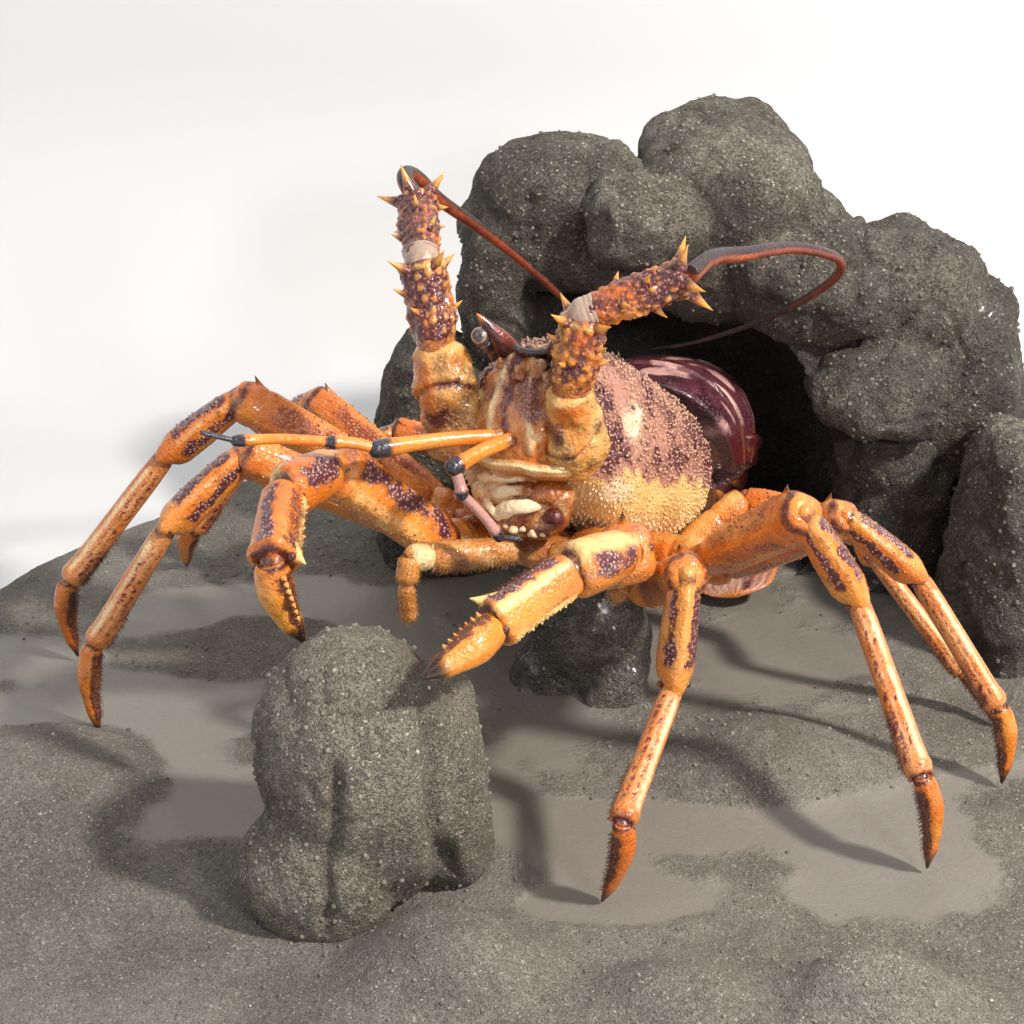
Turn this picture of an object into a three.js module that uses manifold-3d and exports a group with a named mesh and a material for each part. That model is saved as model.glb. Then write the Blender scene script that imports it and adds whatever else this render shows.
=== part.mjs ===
// A spiny lobster as a still, life-size display model, standing on a sculpted rockwork base
// Millimetres, +Z up. The base is centred on the origin and its flat underside is at z = 0.
import * as THREE from 'three';
import { mergeVertices } from 'three/addons/utils/BufferGeometryUtils.js';
import Module from 'manifold-3d';

const wasm = await Module();
wasm.setup();

// Driving dimensions
const GAP = 0.35;                        // clearance between neighbouring pieces
const BASE_SIZE = [670, 720];            // base across and front to back
const BASE_CENTRE = [-10, 15];           // middle of the base, measured from under the chest
const BASE_THICKNESS = 26;               // ground surface above the underside
const CHEST_HEIGHT = 78;                 // middle of the breastplate above the ground surface
const BODY_TURN = 22;                    // degrees, head turned towards the model's right
const BODY_RISE = 23;                    // degrees, head raised
const CARAPACE_LENGTH = 180;
const CARAPACE_WIDTH = 112;
const EYE_RADIUS = 4.6;
const FLAGELLUM_RADIUS = 4.4;
const SHELL_PLATE = 3;                   // thickness of the tail fan

// Each leg pair: reach of ischium, merus, carpus, propodus and dactyl, then half widths
const LEG_PAIRS = {
  1: { root: [45, 26], reach: [35, 78, 40, 44, 43], girth: [13, 13.5, 12.5, 12.5, 9.5] },
  2: { root: [23, 31], reach: [42, 98, 53, 74, 46], girth: [12, 11, 9, 6.8, 6.2] },
  3: { root: [0, 36], reach: [45, 110, 52, 88, 47], girth: [12, 11.5, 9, 7, 6.4] },
  4: { root: [-22, 40], reach: [43, 94, 47, 74, 40], girth: [11, 10, 8.2, 6.4, 6] },
  5: { root: [-43, 44], reach: [48, 66, 30, 76, 33], girth: [9.5, 8.5, 7, 5.6, 5] },
};

// The pose: heading and lift in degrees of each leg's five lengths, from the body outwards
const LEG_POSES = {
  left_1: [[-74, 12], [-88, 30], [-131, 5], [-144, -18], [-133, -12]],
  left_2: [[-67, -2], [-84, 29], [-128, -82], [-113, -29], [134, -76]],
  left_3: [[-41, 14], [-68, 34], [4, -58], [-69, -42], [-5, -83]],
  left_4: [[-36, 8], [-52, 35], [-8, -39], [-26, -54], [-41, -82]],
  left_5: [[23, 34], [-33, -2], [-82, -6], [-8, -52], [-45, -43]],
  right_1: [[-132, 10], [-153, 42], [-120, 2], [-93, -21], [13, -73]],
  right_2: [[-166, 11], [-173, 27], [-152, -37], [-179, -58], [-86, -79]],
  right_3: [[177, 21], [175, 30], [179, -39], [-175, -52], [88, -84]],
  right_4: [[150, 8], [152, 30], [153, -40], [165, -54], [112, -55]],
  right_5: [[99, 30], [167, 11], [-156, -26], [169, -44], [-64, -60]],
};

// Finishes
function finish(color, roughness) {
  return new THREE.MeshStandardMaterial({ color, roughness, metalness: 0 });
}

const orangeShell = finish(0xd9812f, 0.3);
const creamShell = finish(0xd9ab63, 0.35);
const purpleShell = finish(0x6d3f3a, 0.4);
const darkShell = finish(0x3d2026, 0.3);
const paleMouth = finish(0xe6cfa2, 0.4);
const eyeGlass = finish(0x2b2220, 0.15);
const sandyRock = finish(0x706c63, 0.95);

// Small helpers
const radians = THREE.MathUtils.degToRad;
const vec = (x, y, z) => new THREE.Vector3(x, y, z);
const mix = THREE.MathUtils.lerp;

// Reads a value off a short row of [place, value] pairs, with half eased steps between them
function along(row, place) {
  const next = row.findIndex(([at]) => place <= at);
  if (next < 0) return row[row.length - 1][1];
  if (next === 0) return row[0][1];
  const [before, low] = row[next - 1];
  const [after, high] = row[next];
  const even = (place - before) / (after - before);
  const eased = THREE.MathUtils.smoothstep(place, before, after);
  return mix(low, high, (even + eased) / 2);
}

// The body's own axes: forward, to the animal's left, and up, from the middle of the breastplate
const turn = radians(BODY_TURN);
const rise = radians(BODY_RISE);
const forward = vec(-Math.sin(turn) * Math.cos(rise), -Math.cos(turn) * Math.cos(rise), Math.sin(rise));
const leftward = vec(Math.cos(turn), -Math.sin(turn), 0);
const upward = forward.clone().cross(leftward);

function onBody(x, y, z) {
  return vec(0, 0, CHEST_HEIGHT)
    .addScaledVector(forward, x)
    .addScaledVector(leftward, y)
    .addScaledVector(upward, z);
}

// Solids
function toSolid(geometry) {
  geometry.deleteAttribute('normal');
  geometry.deleteAttribute('uv');
  const closed = mergeVertices(geometry, 1e-4);
  return new wasm.Manifold(new wasm.Mesh({
    numProp: 3,
    vertProperties: new Float32Array(closed.attributes.position.array),
    triVerts: new Uint32Array(closed.index.array),
  }));
}

function toGeometry(solid) {
  const mesh = solid.getMesh();
  const geometry = new THREE.BufferGeometry();
  geometry.setAttribute('position', new THREE.BufferAttribute(mesh.vertProperties, 3));
  geometry.setIndex(new THREE.BufferAttribute(mesh.triVerts, 1));
  geometry.computeVertexNormals();
  return geometry;
}

function largestBody(solid) {
  const bodies = solid.decompose();
  return bodies.reduce((best, body) => (body.volume() > best.volume() ? body : best));
}

// Moves every point of a geometry to the place that a function gives it
function deform(geometry, place) {
  const points = geometry.attributes.position;
  const from = new THREE.Vector3();
  for (let i = 0; i < points.count; i += 1) {
    from.fromBufferAttribute(points, i);
    const to = place(from);
    points.setXYZ(i, to.x, to.y, to.z);
  }
  return geometry;
}

// A closed oval skin through stations { at, wide, deep }, with its wide axis starting along `side`
function skin(stations, side, sides, grow = 0) {
  const last = stations.length - 1;
  let across = side.clone();
  const frames = stations.map((station, k) => {
    const before = stations[Math.max(k - 1, 0)].at;
    const after = stations[Math.min(k + 1, last)].at;
    const ahead = after.clone().sub(before).normalize();
    across = across.clone().addScaledVector(ahead, -across.dot(ahead)).normalize();
    return { ahead, across, up: ahead.clone().cross(across) };
  });
  return toSolid(deform(new THREE.CylinderGeometry(1, 1, 1, sides, last), (from) => {
    const k = Math.round((0.5 - from.y) * last);
    const station = stations[k];
    const frame = frames[k];
    const overrun = (k === last ? grow : 0) - (k === 0 ? grow : 0);
    return station.at.clone()
      .addScaledVector(frame.across, from.x * (station.wide + grow))
      .addScaledVector(frame.up, from.z * (station.deep + grow))
      .addScaledVector(frame.ahead, overrun);
  }));
}

// Stations of one length of a limb: profile rows are [fraction along, share of the half width]
function bone(start, end, profile, wide, deep) {
  return profile.map(([t, share]) => ({
    at: start.clone().lerp(end, t),
    wide: wide * share,
    deep: deep * share,
  }));
}

// A boulder-like or shell-like lump, blunter than an ellipsoid where `blunt` is over 2
function lump(centre, radii, place, options) {
  const { blunt = 2.5, rough = 0.05, seed = 1, sides = 9, rows = 6, grow = 0 } = options;
  return toSolid(deform(new THREE.SphereGeometry(1, sides, rows), (from) => {
    const d = vec(from.x, -from.z, from.y).normalize();
    const power = Math.abs(d.x) ** blunt + Math.abs(d.y) ** blunt + Math.abs(d.z) ** blunt;
    const swell = power ** (-1 / blunt) * (1 + rough * ripple(d, seed));
    return place(
      centre[0] + d.x * (radii[0] * swell + grow),
      centre[1] + d.y * (radii[1] * swell + grow),
      centre[2] + d.z * (radii[2] * swell + grow),
    );
  }));
}

// Gentle, repeatable unevenness over a sphere of directions
function ripple(d, seed) {
  return Math.sin(3.1 * d.x + 2.3 * seed)
    + Math.sin(3.7 * d.y + 1.7 * seed + 2 * d.z)
    + Math.sin(4.3 * d.z + 0.9 * seed + 1.5 * d.x);
}

// A level direction square to a line, or along X where the line is steep
function sideFor(start, end) {
  const ahead = end.clone().sub(start).normalize();
  return Math.abs(ahead.z) > 0.8 ? vec(1, 0, 0) : vec(0, 0, 1).cross(ahead);
}

// A small four-sided thorn from a root point to its tip
const THORN_TIP = 0.5;

function thorn(root, tip, radius, grow = 0) {
  return skin([
    { at: root, wide: radius, deep: radius },
    { at: tip, wide: THORN_TIP, deep: THORN_TIP },
  ], sideFor(root, tip), 4, grow);
}

const joined = (solids) => solids.reduce((all, next) => all.add(next));

// The model is filled piece by piece; each new piece gives way to those already there
const model = new THREE.Group();
model.position.set(-BASE_CENTRE[0], -BASE_CENTRE[1], BASE_THICKNESS);
const animal = new THREE.Group();
const rockwork = new THREE.Group();
model.add(animal, rockwork);
const placed = [];

function boxesMeet(a, b) {
  return [0, 1, 2].every((i) => a.min[i] <= b.max[i] && b.min[i] <= a.max[i]);
}

function add(group, name, material, shape) {
  let solid = shape(0);
  for (const neighbour of placed) {
    if (boxesMeet(solid.boundingBox(), neighbour.boundingBox())) {
      solid = solid.subtract(neighbour);
    }
  }
  solid = largestBody(solid);
  placed.push(shape(GAP));
  const mesh = new THREE.Mesh(toGeometry(solid), material);
  mesh.name = name;
  group.add(mesh);
}

// The ground: a slab with a wandering outline, low mounds and a flat underside
const MOUNDS = [
  { at: [95, -85], spread: [50, 42], height: 15 },
  { at: [-262, -118], spread: [56, 62], height: 18 },
  { at: [-58, -262], spread: [44, 34], height: 24 },
  { at: [118, -284], spread: [36, 24], height: 24 },
  { at: [36, -282], spread: [34, 22], height: 12 },
  { at: [-160, 60], spread: [60, 50], height: 6 },
];

function groundHeight(x, y) {
  const swell = 1.2 * Math.sin(x / 31 + 0.4) * Math.sin(y / 37 + 1.1);
  const mounds = MOUNDS.reduce((sum, { at, spread, height }) => {
    const reach = ((x - at[0]) / spread[0]) ** 2 + ((y - at[1]) / spread[1]) ** 2;
    return sum + height * Math.exp(-1.4 * reach ** 1.4);
  }, 0);
  return mounds + swell - 1;
}

// The outline: a rounded rectangle with the far left corner cut off, on a scale where its half size is 1
const RIM_SQUARENESS = 3.4;
const CUT_CORNER = { angle: 2.38, width: 0.42, depth: 0.2 };

function groundRim(angle) {
  const across = Math.abs(Math.cos(angle)) ** RIM_SQUARENESS;
  const back = Math.abs(Math.sin(angle)) ** RIM_SQUARENESS;
  const square = (across + back) ** (-1 / RIM_SQUARENESS);
  const cut = CUT_CORNER.depth * Math.exp(-(((angle - CUT_CORNER.angle) / CUT_CORNER.width) ** 2));
  const wander = 0.012 * Math.sin(5 * angle + 1) + 0.008 * Math.sin(9 * angle);
  return square * (1 - cut) * (1 + wander);
}

const GROUND_SIDES = 30;
const GROUND_TOP_ROWS = 7;
const UNDERSIDE_SPREAD = [0.995, 0.6, 0];
const GROUND_ROWS = GROUND_TOP_ROWS + UNDERSIDE_SPREAD.length;
const RIM_DROP = 5;

function groundSolid(grow) {
  const rim = new THREE.Box2();
  for (let i = 0; i < GROUND_SIDES; i += 1) {
    const angle = (i / GROUND_SIDES) * 2 * Math.PI;
    rim.expandByPoint(new THREE.Vector2(Math.cos(angle), Math.sin(angle)).multiplyScalar(groundRim(angle)));
  }
  const middle = rim.getCenter(new THREE.Vector2());
  const size = rim.getSize(new THREE.Vector2());
  return toSolid(deform(new THREE.SphereGeometry(1, GROUND_SIDES, GROUND_ROWS), (from) => {
    const row = Math.round((Math.acos(THREE.MathUtils.clamp(from.y, -1, 1)) / Math.PI) * GROUND_ROWS);
    const angle = (Math.atan2(-from.z, from.x) + 2 * Math.PI) % (2 * Math.PI);
    const onTop = row <= GROUND_TOP_ROWS;
    const spread = onTop ? (row / GROUND_TOP_ROWS) ** 0.9 : UNDERSIDE_SPREAD[row - GROUND_TOP_ROWS - 1];
    const reach = groundRim(angle) * spread;
    const drop = row === GROUND_TOP_ROWS ? RIM_DROP : 0;
    const x = BASE_CENTRE[0] + ((reach * Math.cos(angle) - middle.x) / size.x) * BASE_SIZE[0];
    const y = BASE_CENTRE[1] + ((reach * Math.sin(angle) - middle.y) / size.y) * BASE_SIZE[1];
    return vec(x, y, onTop ? groundHeight(x, y) - drop + grow : -BASE_THICKNESS);
  }));
}

// The boulders, each a few lumps grown together: centre, radii and unevenness of each lump
const ROCKS = {
  rock_knob: [
    { at: [-97, -190, 52], radii: [46, 50, 72], seed: 1 },
    { at: [-70, -176, 42], radii: [28, 40, 58], seed: 2 },
    { at: [-116, -218, 20], radii: [36, 26, 34], seed: 3 },
  ],
  rock_left: [{ at: [-68, 172, 46], radii: [46, 48, 84], seed: 4 }],
  rock_roof_left: [
    { at: [-4, 192, 198], radii: [54, 58, 44], seed: 5 },
    { at: [-40, 182, 160], radii: [24, 44, 52], seed: 17 },
  ],
  rock_roof: [
    { at: [88, 195, 200], radii: [60, 66, 55], seed: 6 },
    { at: [42, 136, 210], radii: [34, 34, 25], seed: 7 },
    { at: [136, 152, 172], radii: [50, 50, 38], seed: 8 },
  ],
  rock_right: [
    { at: [190, 166, 158], radii: [52, 54, 44], seed: 9 },
    { at: [226, 150, 104], radii: [34, 46, 72], seed: 10 },
    { at: [170, 114, 120], radii: [38, 34, 24], seed: 11 },
  ],
  rock_pillar: [{ at: [241, 58, 38], radii: [36, 62, 80], seed: 12 }],
  rock_inner: [{ at: [188, 150, 40], radii: [34, 56, 68], seed: 13 }],
};
const CAVE_BACK = { at: [86, 226, 66], radii: [128, 106, 138], seed: 14 };
const CAVE_HOLLOW = { at: [52, 150, 62], radii: [104, 116, 108], seed: 15 };
const SUPPORT_ROCK = { at: [8, -2, 28], radii: [34, 30, 46], seed: 16 };

const asIs = (x, y, z) => vec(x, y, z);
const boulder = ({ at, radii, seed }, grow = 0) => lump(at, radii, asIs, { seed, grow });

// The carapace: half width, top, widest level and underside along its length
const HALF_WIDTH = [
  [-76, 0.87], [-55, 0.95], [-20, 1], [20, 0.95],
  [50, 0.85], [75, 0.7], [92, 0.58], [101, 0.48],
];
const TOP = [[-76, 84], [-55, 89], [-20, 95], [20, 100], [50, 103], [80, 101], [101, 95]];
const WIDEST = [[-76, 42], [20, 40], [50, 44], [80, 52], [101, 66]];
const UNDERSIDE = [[-76, 24], [-62, 12], [-20, 5], [20, 7], [50, 14], [80, 30], [101, 52]];
const CARAPACE_REAR = -76;
const CARAPACE_ROWS = 9;
const CARAPACE_SIDES = 18;
const CARAPACE_BEND = { above: 0.98, below: 0.6 };   // powers under 1 fill the section out squarely
const REAR_CLOSING = 0.06;
const FRONT_CLOSING = 0.1;

function carapaceSolid(grow) {
  return toSolid(deform(new THREE.CylinderGeometry(1, 1, 1, CARAPACE_SIDES, CARAPACE_ROWS), (from) => {
    const t = 0.5 - from.y;
    const overrun = (t > 0.999 ? grow : 0) - (t < 0.001 ? grow : 0);
    const x = CARAPACE_REAR + t * CARAPACE_LENGTH;
    const ends = 1 - (t < 0.001 ? REAR_CLOSING : 0) - (t > 0.999 ? FRONT_CLOSING : 0);
    const half = along(HALF_WIDTH, x) * CARAPACE_WIDTH * 0.5;
    const widest = along(WIDEST, x);
    const spread = Math.hypot(from.x, from.z);
    const c = from.x / (spread || 1);
    const s = from.z / (spread || 1);
    const bend = s > 0 ? CARAPACE_BEND.above : CARAPACE_BEND.below;
    const y = Math.sign(c) * Math.abs(c) ** bend * (half + grow);
    const height = s > 0 ? along(TOP, x) - widest : widest - along(UNDERSIDE, x);
    const z = Math.sign(s) * Math.abs(s) ** bend * (height + grow);
    return onBody(x + overrun, y * spread * ends, widest + z * spread * ends);
  }));
}

// The breastplate between the leg roots
const BREASTPLATE = [[-66, 30, 8], [-40, 36, 12], [0, 30, 12], [40, 22, 11], [72, 16, 8]];

function breastplateSolid(grow) {
  const stations = BREASTPLATE.map(([x, wide, deep]) => ({ at: onBody(x, 0, -3), wide, deep }));
  return skin(stations, leftward, 12, grow);
}

// The face: antennular plate between the antennae, with the epistome ledge under it
const FACE_PLATE = { at: [90, -2, 62], radii: [22, 25, 34] };
const EPISTOME = { at: [90, -5, 42], radii: [14, 41, 7] };

function faceSolid(grow) {
  const plate = lump(FACE_PLATE.at, FACE_PLATE.radii, onBody, { blunt: 2.4, rough: 0.02, seed: 3, grow });
  const ledge = lump(EPISTOME.at, EPISTOME.radii, onBody, { blunt: 2.6, rough: 0, grow });
  return plate.add(ledge);
}

// Horns over the eyes, and the eyes on their stalks: body place and half width of each station
const HORN = [[92, 12, 88, 8], [106, 15, 95, 5.2], [118, 24, 105, 0.6]];
const EYE_STALK = [[96, 19, 88, 4.5], [109, 22, 93, 3.2]];
const EYE_AT = [111, 23, 95];

function stalkSolid(rows, side, sides, grow) {
  const stations = rows.map(([x, y, z, girth]) => ({ at: onBody(x, y * side, z), wide: girth, deep: girth }));
  return skin(stations, leftward, sides, grow);
}

function eyeSolid(side, grow) {
  const [x, y, z] = EYE_AT;
  const radii = [EYE_RADIUS, EYE_RADIUS, EYE_RADIUS];
  const ball = lump([x, y * side, z], radii, onBody, { blunt: 2, rough: 0, sides: 7, rows: 5, grow });
  return ball.add(stalkSolid(EYE_STALK, side, 5, grow));
}

const MOUTH = { at: [80, 1, 20], radii: [13, 25, 18] };
const mouthSolid = (grow) => lump(MOUTH.at, MOUTH.radii, onBody, { blunt: 2.4, rough: 0.02, seed: 5, grow });

// Third maxillipeds: a thick bristly length across the mouth, then a short bent palp
const MAXILLIPED_GIRTHS = [8, 7, 6, 4.6];
const MAXILLIPED_FIRST = [[0, 0.9], [0.5, 1], [0.9, 1]];
const MAXILLIPED_OTHERS = [[0.2, 1], [0.85, 0.95]];

function maxillipedSolid(points, grow) {
  const stations = MAXILLIPED_GIRTHS.flatMap((girth, i) => (
    bone(points[i], points[i + 1], i === 0 ? MAXILLIPED_FIRST : MAXILLIPED_OTHERS, girth, girth)
  ));
  return skin(stations, upward, 7, grow);
}
const MAXILLIPED_RIGHT = [
  vec(-30, -68, 105), vec(-70, -86, 110), vec(-79, -94, 114), vec(-81, -98, 102), vec(-80, -98, 83),
];
const MAXILLIPED_LEFT = [
  vec(-10, -76, 106), vec(16, -94, 116), vec(22, -100, 114), vec(22, -102, 104), vec(18, -102, 96),
];

// Antenna stems: three spiny articles each, ending where the whip starts
const ANTENNA_RIGHT = [
  onBody(86, -33, 38), onBody(112, -45, 90), onBody(116, -56, 126), onBody(88, -76, 158),
];
const ANTENNA_LEFT = [
  onBody(86, 26, 38), onBody(116, 27, 78), onBody(130, 33, 110), onBody(120, 76, 134),
];
const ANTENNA_GIRTH = [[17.5, 16], [13.5, 12.5], [11.5, 10.5]];
const ARTICLE = [[0.07, 0.92], [0.5, 1], [0.93, 0.94]];
const THORN_RINGS = [
  { article: 1, t: 0.9, count: 4, length: 9 },
  { article: 2, t: 0.95, count: 5, length: 11 },
];
const THORN_ROOT = 3.4;

function antennaSolid(joints, grow) {
  const stations = ANTENNA_GIRTH.flatMap(([wide, deep], i) => (
    bone(joints[i], joints[i + 1], ARTICLE, wide, deep)
  ));
  const stem = skin(stations, leftward, 9, grow);
  const thorns = THORN_RINGS.flatMap(({ article, t, count, length }) => {
    const axis = joints[article + 1].clone().sub(joints[article]).normalize();
    const girth = ANTENNA_GIRTH[article][1];
    const across = leftward.clone().addScaledVector(axis, -leftward.dot(axis)).normalize();
    const up = axis.clone().cross(across);
    return Array.from({ length: count }, (_, i) => {
      const angle = (i / count) * 2 * Math.PI + article;
      const out = across.clone().multiplyScalar(Math.cos(angle)).addScaledVector(up, Math.sin(angle));
      const root = joints[article].clone().lerp(joints[article + 1], t).addScaledVector(out, girth * 0.6);
      const tip = root.clone()
        .addScaledVector(out, girth * 0.4 + length * 0.8)
        .addScaledVector(axis, length * 0.7);
      return thorn(root, tip, THORN_ROOT, grow);
    });
  });
  return joined([stem, ...thorns]);
}

// Antenna whips: long tapering curves, each in two lengths
const WHIP_RIGHT = [
  onBody(88, -76, 158), vec(-83, 19, 264), vec(-83, 31, 265), vec(-78, 44, 259), vec(-68, 62, 243),
  vec(-48, 86, 221), vec(-27, 106, 198), vec(-8, 120, 176), vec(2, 134, 158), vec(14, 162, 131),
  vec(30, 198, 94),
];
const WHIP_LEFT = [
  onBody(120, 76, 134), vec(62, -54, 248), vec(80, -28, 242), vec(106, 8, 234), vec(130, 38, 221),
  vec(138, 54, 210), vec(135, 64, 199), vec(121, 78, 183), vec(102, 96, 166), vec(73, 122, 146),
  vec(47, 150, 131),
];
const WHIP_STEPS = 12;
const WHIP_LENGTHS = { near: [0.012, 0.498], far: [0.502, 1] };
const WHIP_TAPER = 0.42;

function whipSolid(points, [start, end], grow) {
  const curve = new THREE.CatmullRomCurve3(points);
  const stations = Array.from({ length: WHIP_STEPS + 1 }, (_, i) => {
    const t = mix(start, end, i / WHIP_STEPS);
    const radius = FLAGELLUM_RADIUS * mix(1, WHIP_TAPER, t);
    return { at: curve.getPointAt(t), wide: radius, deep: radius };
  });
  return skin(stations, leftward, 6, grow);
}

// Antennules: slim jointed stalks, each with a short pair of whips at the end
const ANTENNULE_RIGHT = [
  vec(-36, -74, 167), vec(-93, -98, 170), vec(-114, -102, 175), vec(-156, -110, 179), vec(-172, -112, 184),
];
const ANTENNULE_LEFT = [
  vec(-32, -76, 166), vec(-58, -98, 161), vec(-54, -100, 148), vec(-37, -98, 126), vec(-26, -94, 123),
];

const ANTENNULE_GIRTHS = [4, 3.2, 2.8, 2];
const ANTENNULE_LENGTH = [[0.06, 1], [0.6, 0.9], [0.95, 1.15]];

function antennuleSolid(points, grow) {
  const stations = ANTENNULE_GIRTHS.flatMap((girth, i) => (
    bone(points[i], points[i + 1], ANTENNULE_LENGTH, girth, girth)
  ));
  return skin(stations, upward, 6, grow);
}

// The abdomen: six rings round a curl, each a wedge that narrows towards the middle of the curl
const CURL_CENTRE = [-140, 44];
const RING_EDGES = [37, 62, 96, 130, 162, 192, 222];
const CURL_RADIUS = [[37, 78], [62, 69], [96, 66], [130, 62], [162, 60], [192, 60], [222, 56]];
const RING_HALF_WIDTH = [[37, 46], [62, 50], [96, 52], [130, 50], [162, 45], [192, 38], [222, 30]];
const CURL_INNER = 12;
const RING_SLACK = 0.35;         // degrees between neighbouring rings and each wedge's ends
const RING_HUMP = 0.03;          // each ring's front edge stands proud of the one behind
const RING_BELLY = 6;
const RING_SIDES = 12;
const RING_ROWS = 2;

function ringSolid(index, grow) {
  return toSolid(deform(new THREE.CylinderGeometry(1, 1, 1, RING_SIDES, RING_ROWS), (from) => {
    const t = 0.5 - from.y;
    const degrees = mix(RING_EDGES[index] + RING_SLACK, RING_EDGES[index + 1] - RING_SLACK, t);
    const angle = radians(degrees);
    const spread = Math.hypot(from.x, from.z);
    const c = from.x / (spread || 1);
    const s = from.z / (spread || 1);
    const outer = along(CURL_RADIUS, degrees) * (1 - RING_HUMP * (1 - t));
    const depth = s > 0 ? (outer - CURL_INNER) * s ** 0.8 : RING_BELLY * s;
    const r = CURL_INNER + (depth + Math.sign(s) * grow) * spread;
    const y = Math.sign(c) * Math.abs(c) ** 0.86 * (along(RING_HALF_WIDTH, degrees) + grow) * spread;
    const overrun = (t > 0.999 ? grow : 0) - (t < 0.001 ? grow : 0);
    return onBody(
      CURL_CENTRE[0] + r * Math.cos(angle) - overrun * Math.sin(angle),
      -y,
      CURL_CENTRE[1] + r * Math.sin(angle) + overrun * Math.cos(angle),
    );
  }));
}

// The tail fan: a middle plate and a pair of side plates each side, folded forwards under the curl
// Each row is a body place on the left side and the half width there
const TELSON = [[-188, 0, 7, 17], [-170, 0, -3, 20], [-150, 0, -14, 20], [-132, 0, -23, 15]];
const UROPODS = [[-186, 22, 9, 9], [-168, 38, 1, 20], [-150, 50, -8, 25], [-131, 56, -20, 18]];
const UROPOD_SPREAD = [-0.45, 0.72, 0.5];

function fanPlate(rows, side, across, grow) {
  const deep = SHELL_PLATE / 2;
  const stations = rows.map(([x, y, z, wide]) => ({ at: onBody(x, y * side, z), wide, deep }));
  return skin(stations, across, 10, grow);
}

const telsonSolid = (grow) => fanPlate(TELSON, 1, leftward, grow);

function uropodSolid(side, grow) {
  const [ahead, out, up] = UROPOD_SPREAD;
  const across = leftward.clone().multiplyScalar(out)
    .addScaledVector(upward, up * side)
    .addScaledVector(forward, ahead * side);
  return fanPlate(UROPODS, side, across, grow);
}

// Legs: five lengths run from the breastplate to the claw tip, each with its own profile
const PROFILES = [
  [[-0.2, 0.95], [0.3, 1.05], [0.88, 0.88]],
  [[0.06, 0.82], [0.2, 0.95], [0.93, 1.1], [1.05, 0.82]],
  [[-0.1, 0.78], [0.25, 1], [0.85, 1.12]],
  [[0.08, 0.92], [0.9, 1]],
  [[0.1, 0.95], [0.3, 1], [0.75, 0.62], [1, 0.12]],
];

const LEG_FLATNESS = 0.93;
const LEG_SIDES = 7;

function legJoints(name) {
  const side = name.startsWith('left') ? 1 : -1;
  const pair = LEG_PAIRS[name.slice(-1)];
  const joints = [onBody(pair.root[0], pair.root[1] * side, 0)];
  LEG_POSES[name].forEach(([heading, lift], i) => {
    const flat = Math.cos(radians(lift));
    const step = vec(
      flat * Math.cos(radians(heading)),
      flat * Math.sin(radians(heading)),
      Math.sin(radians(lift)),
    ).multiplyScalar(pair.reach[i]);
    joints.push(joints[i].clone().add(step));
  });
  return joints;
}

function legSolid(name, first, last, grow) {
  const joints = legJoints(name);
  const pair = LEG_PAIRS[name.slice(-1)];
  const stations = PROFILES.slice(first, last + 1).flatMap((profile, k) => {
    const i = first + k;
    return bone(joints[i], joints[i + 1], profile, pair.girth[i] * LEG_FLATNESS, pair.girth[i]);
  });
  return skin(stations, sideFor(joints[first], joints[first + 1]), LEG_SIDES, grow);
}

// Putting it together
add(rockwork, 'base_ground', sandyRock, groundSolid);
for (const [name, lumps] of Object.entries(ROCKS)) {
  add(rockwork, name, sandyRock, (grow) => joined(lumps.map((item) => boulder(item, grow))));
}
add(rockwork, 'rock_back', sandyRock, (grow) => (
  boulder(CAVE_BACK, grow).subtract(boulder(CAVE_HOLLOW, -grow))
));

add(animal, 'carapace', purpleShell, carapaceSolid);
add(animal, 'breastplate', creamShell, breastplateSolid);
add(animal, 'face', creamShell, faceSolid);
add(animal, 'antenna_right', creamShell, (grow) => antennaSolid(ANTENNA_RIGHT, grow));
add(animal, 'antenna_left', creamShell, (grow) => antennaSolid(ANTENNA_LEFT, grow));
for (const [word, side] of [['left', 1], ['right', -1]]) {
  add(animal, `horn_${word}`, darkShell, (grow) => stalkSolid(HORN, side, 8, grow));
  add(animal, `eye_${word}`, eyeGlass, (grow) => eyeSolid(side, grow));
}
add(animal, 'mouthparts', paleMouth, mouthSolid);
add(animal, 'maxilliped_right', orangeShell, (grow) => maxillipedSolid(MAXILLIPED_RIGHT, grow));
add(animal, 'maxilliped_left', orangeShell, (grow) => maxillipedSolid(MAXILLIPED_LEFT, grow));
add(animal, 'antennule_right', orangeShell, (grow) => antennuleSolid(ANTENNULE_RIGHT, grow));
add(animal, 'antennule_left', orangeShell, (grow) => antennuleSolid(ANTENNULE_LEFT, grow));
for (const [word, points] of [['right', WHIP_RIGHT], ['left', WHIP_LEFT]]) {
  for (const [length, span] of Object.entries(WHIP_LENGTHS)) {
    add(animal, `whip_${word}_${length}`, darkShell, (grow) => whipSolid(points, span, grow));
  }
}
for (let i = 0; i < RING_EDGES.length - 1; i += 1) {
  add(animal, `abdomen_${i + 1}`, purpleShell, (grow) => ringSolid(i, grow));
}
add(animal, 'telson', creamShell, telsonSolid);
add(animal, 'uropods_left', creamShell, (grow) => uropodSolid(1, grow));
add(animal, 'uropods_right', creamShell, (grow) => uropodSolid(-1, grow));
for (const name of Object.keys(LEG_POSES)) {
  add(animal, `leg_${name}_upper`, orangeShell, (grow) => legSolid(name, 0, 1, grow));
  add(animal, `leg_${name}_lower`, orangeShell, (grow) => legSolid(name, 2, 4, grow));
}
add(rockwork, 'rock_support', sandyRock, (grow) => boulder(SUPPORT_ROCK, grow));

export default model;
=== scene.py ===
"""A spiny lobster, still and life size, on a sandy rockwork base: its looks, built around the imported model.

Every length is in millimetres until a mesh is made. World places are measured from the ground under the
chest, and body places run forward, to the animal's left and up from the middle of its breastplate.
"""
import logging
import math
from dataclasses import dataclass, field
from enum import Enum
from typing import Callable, Iterable, NamedTuple, Sequence

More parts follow.
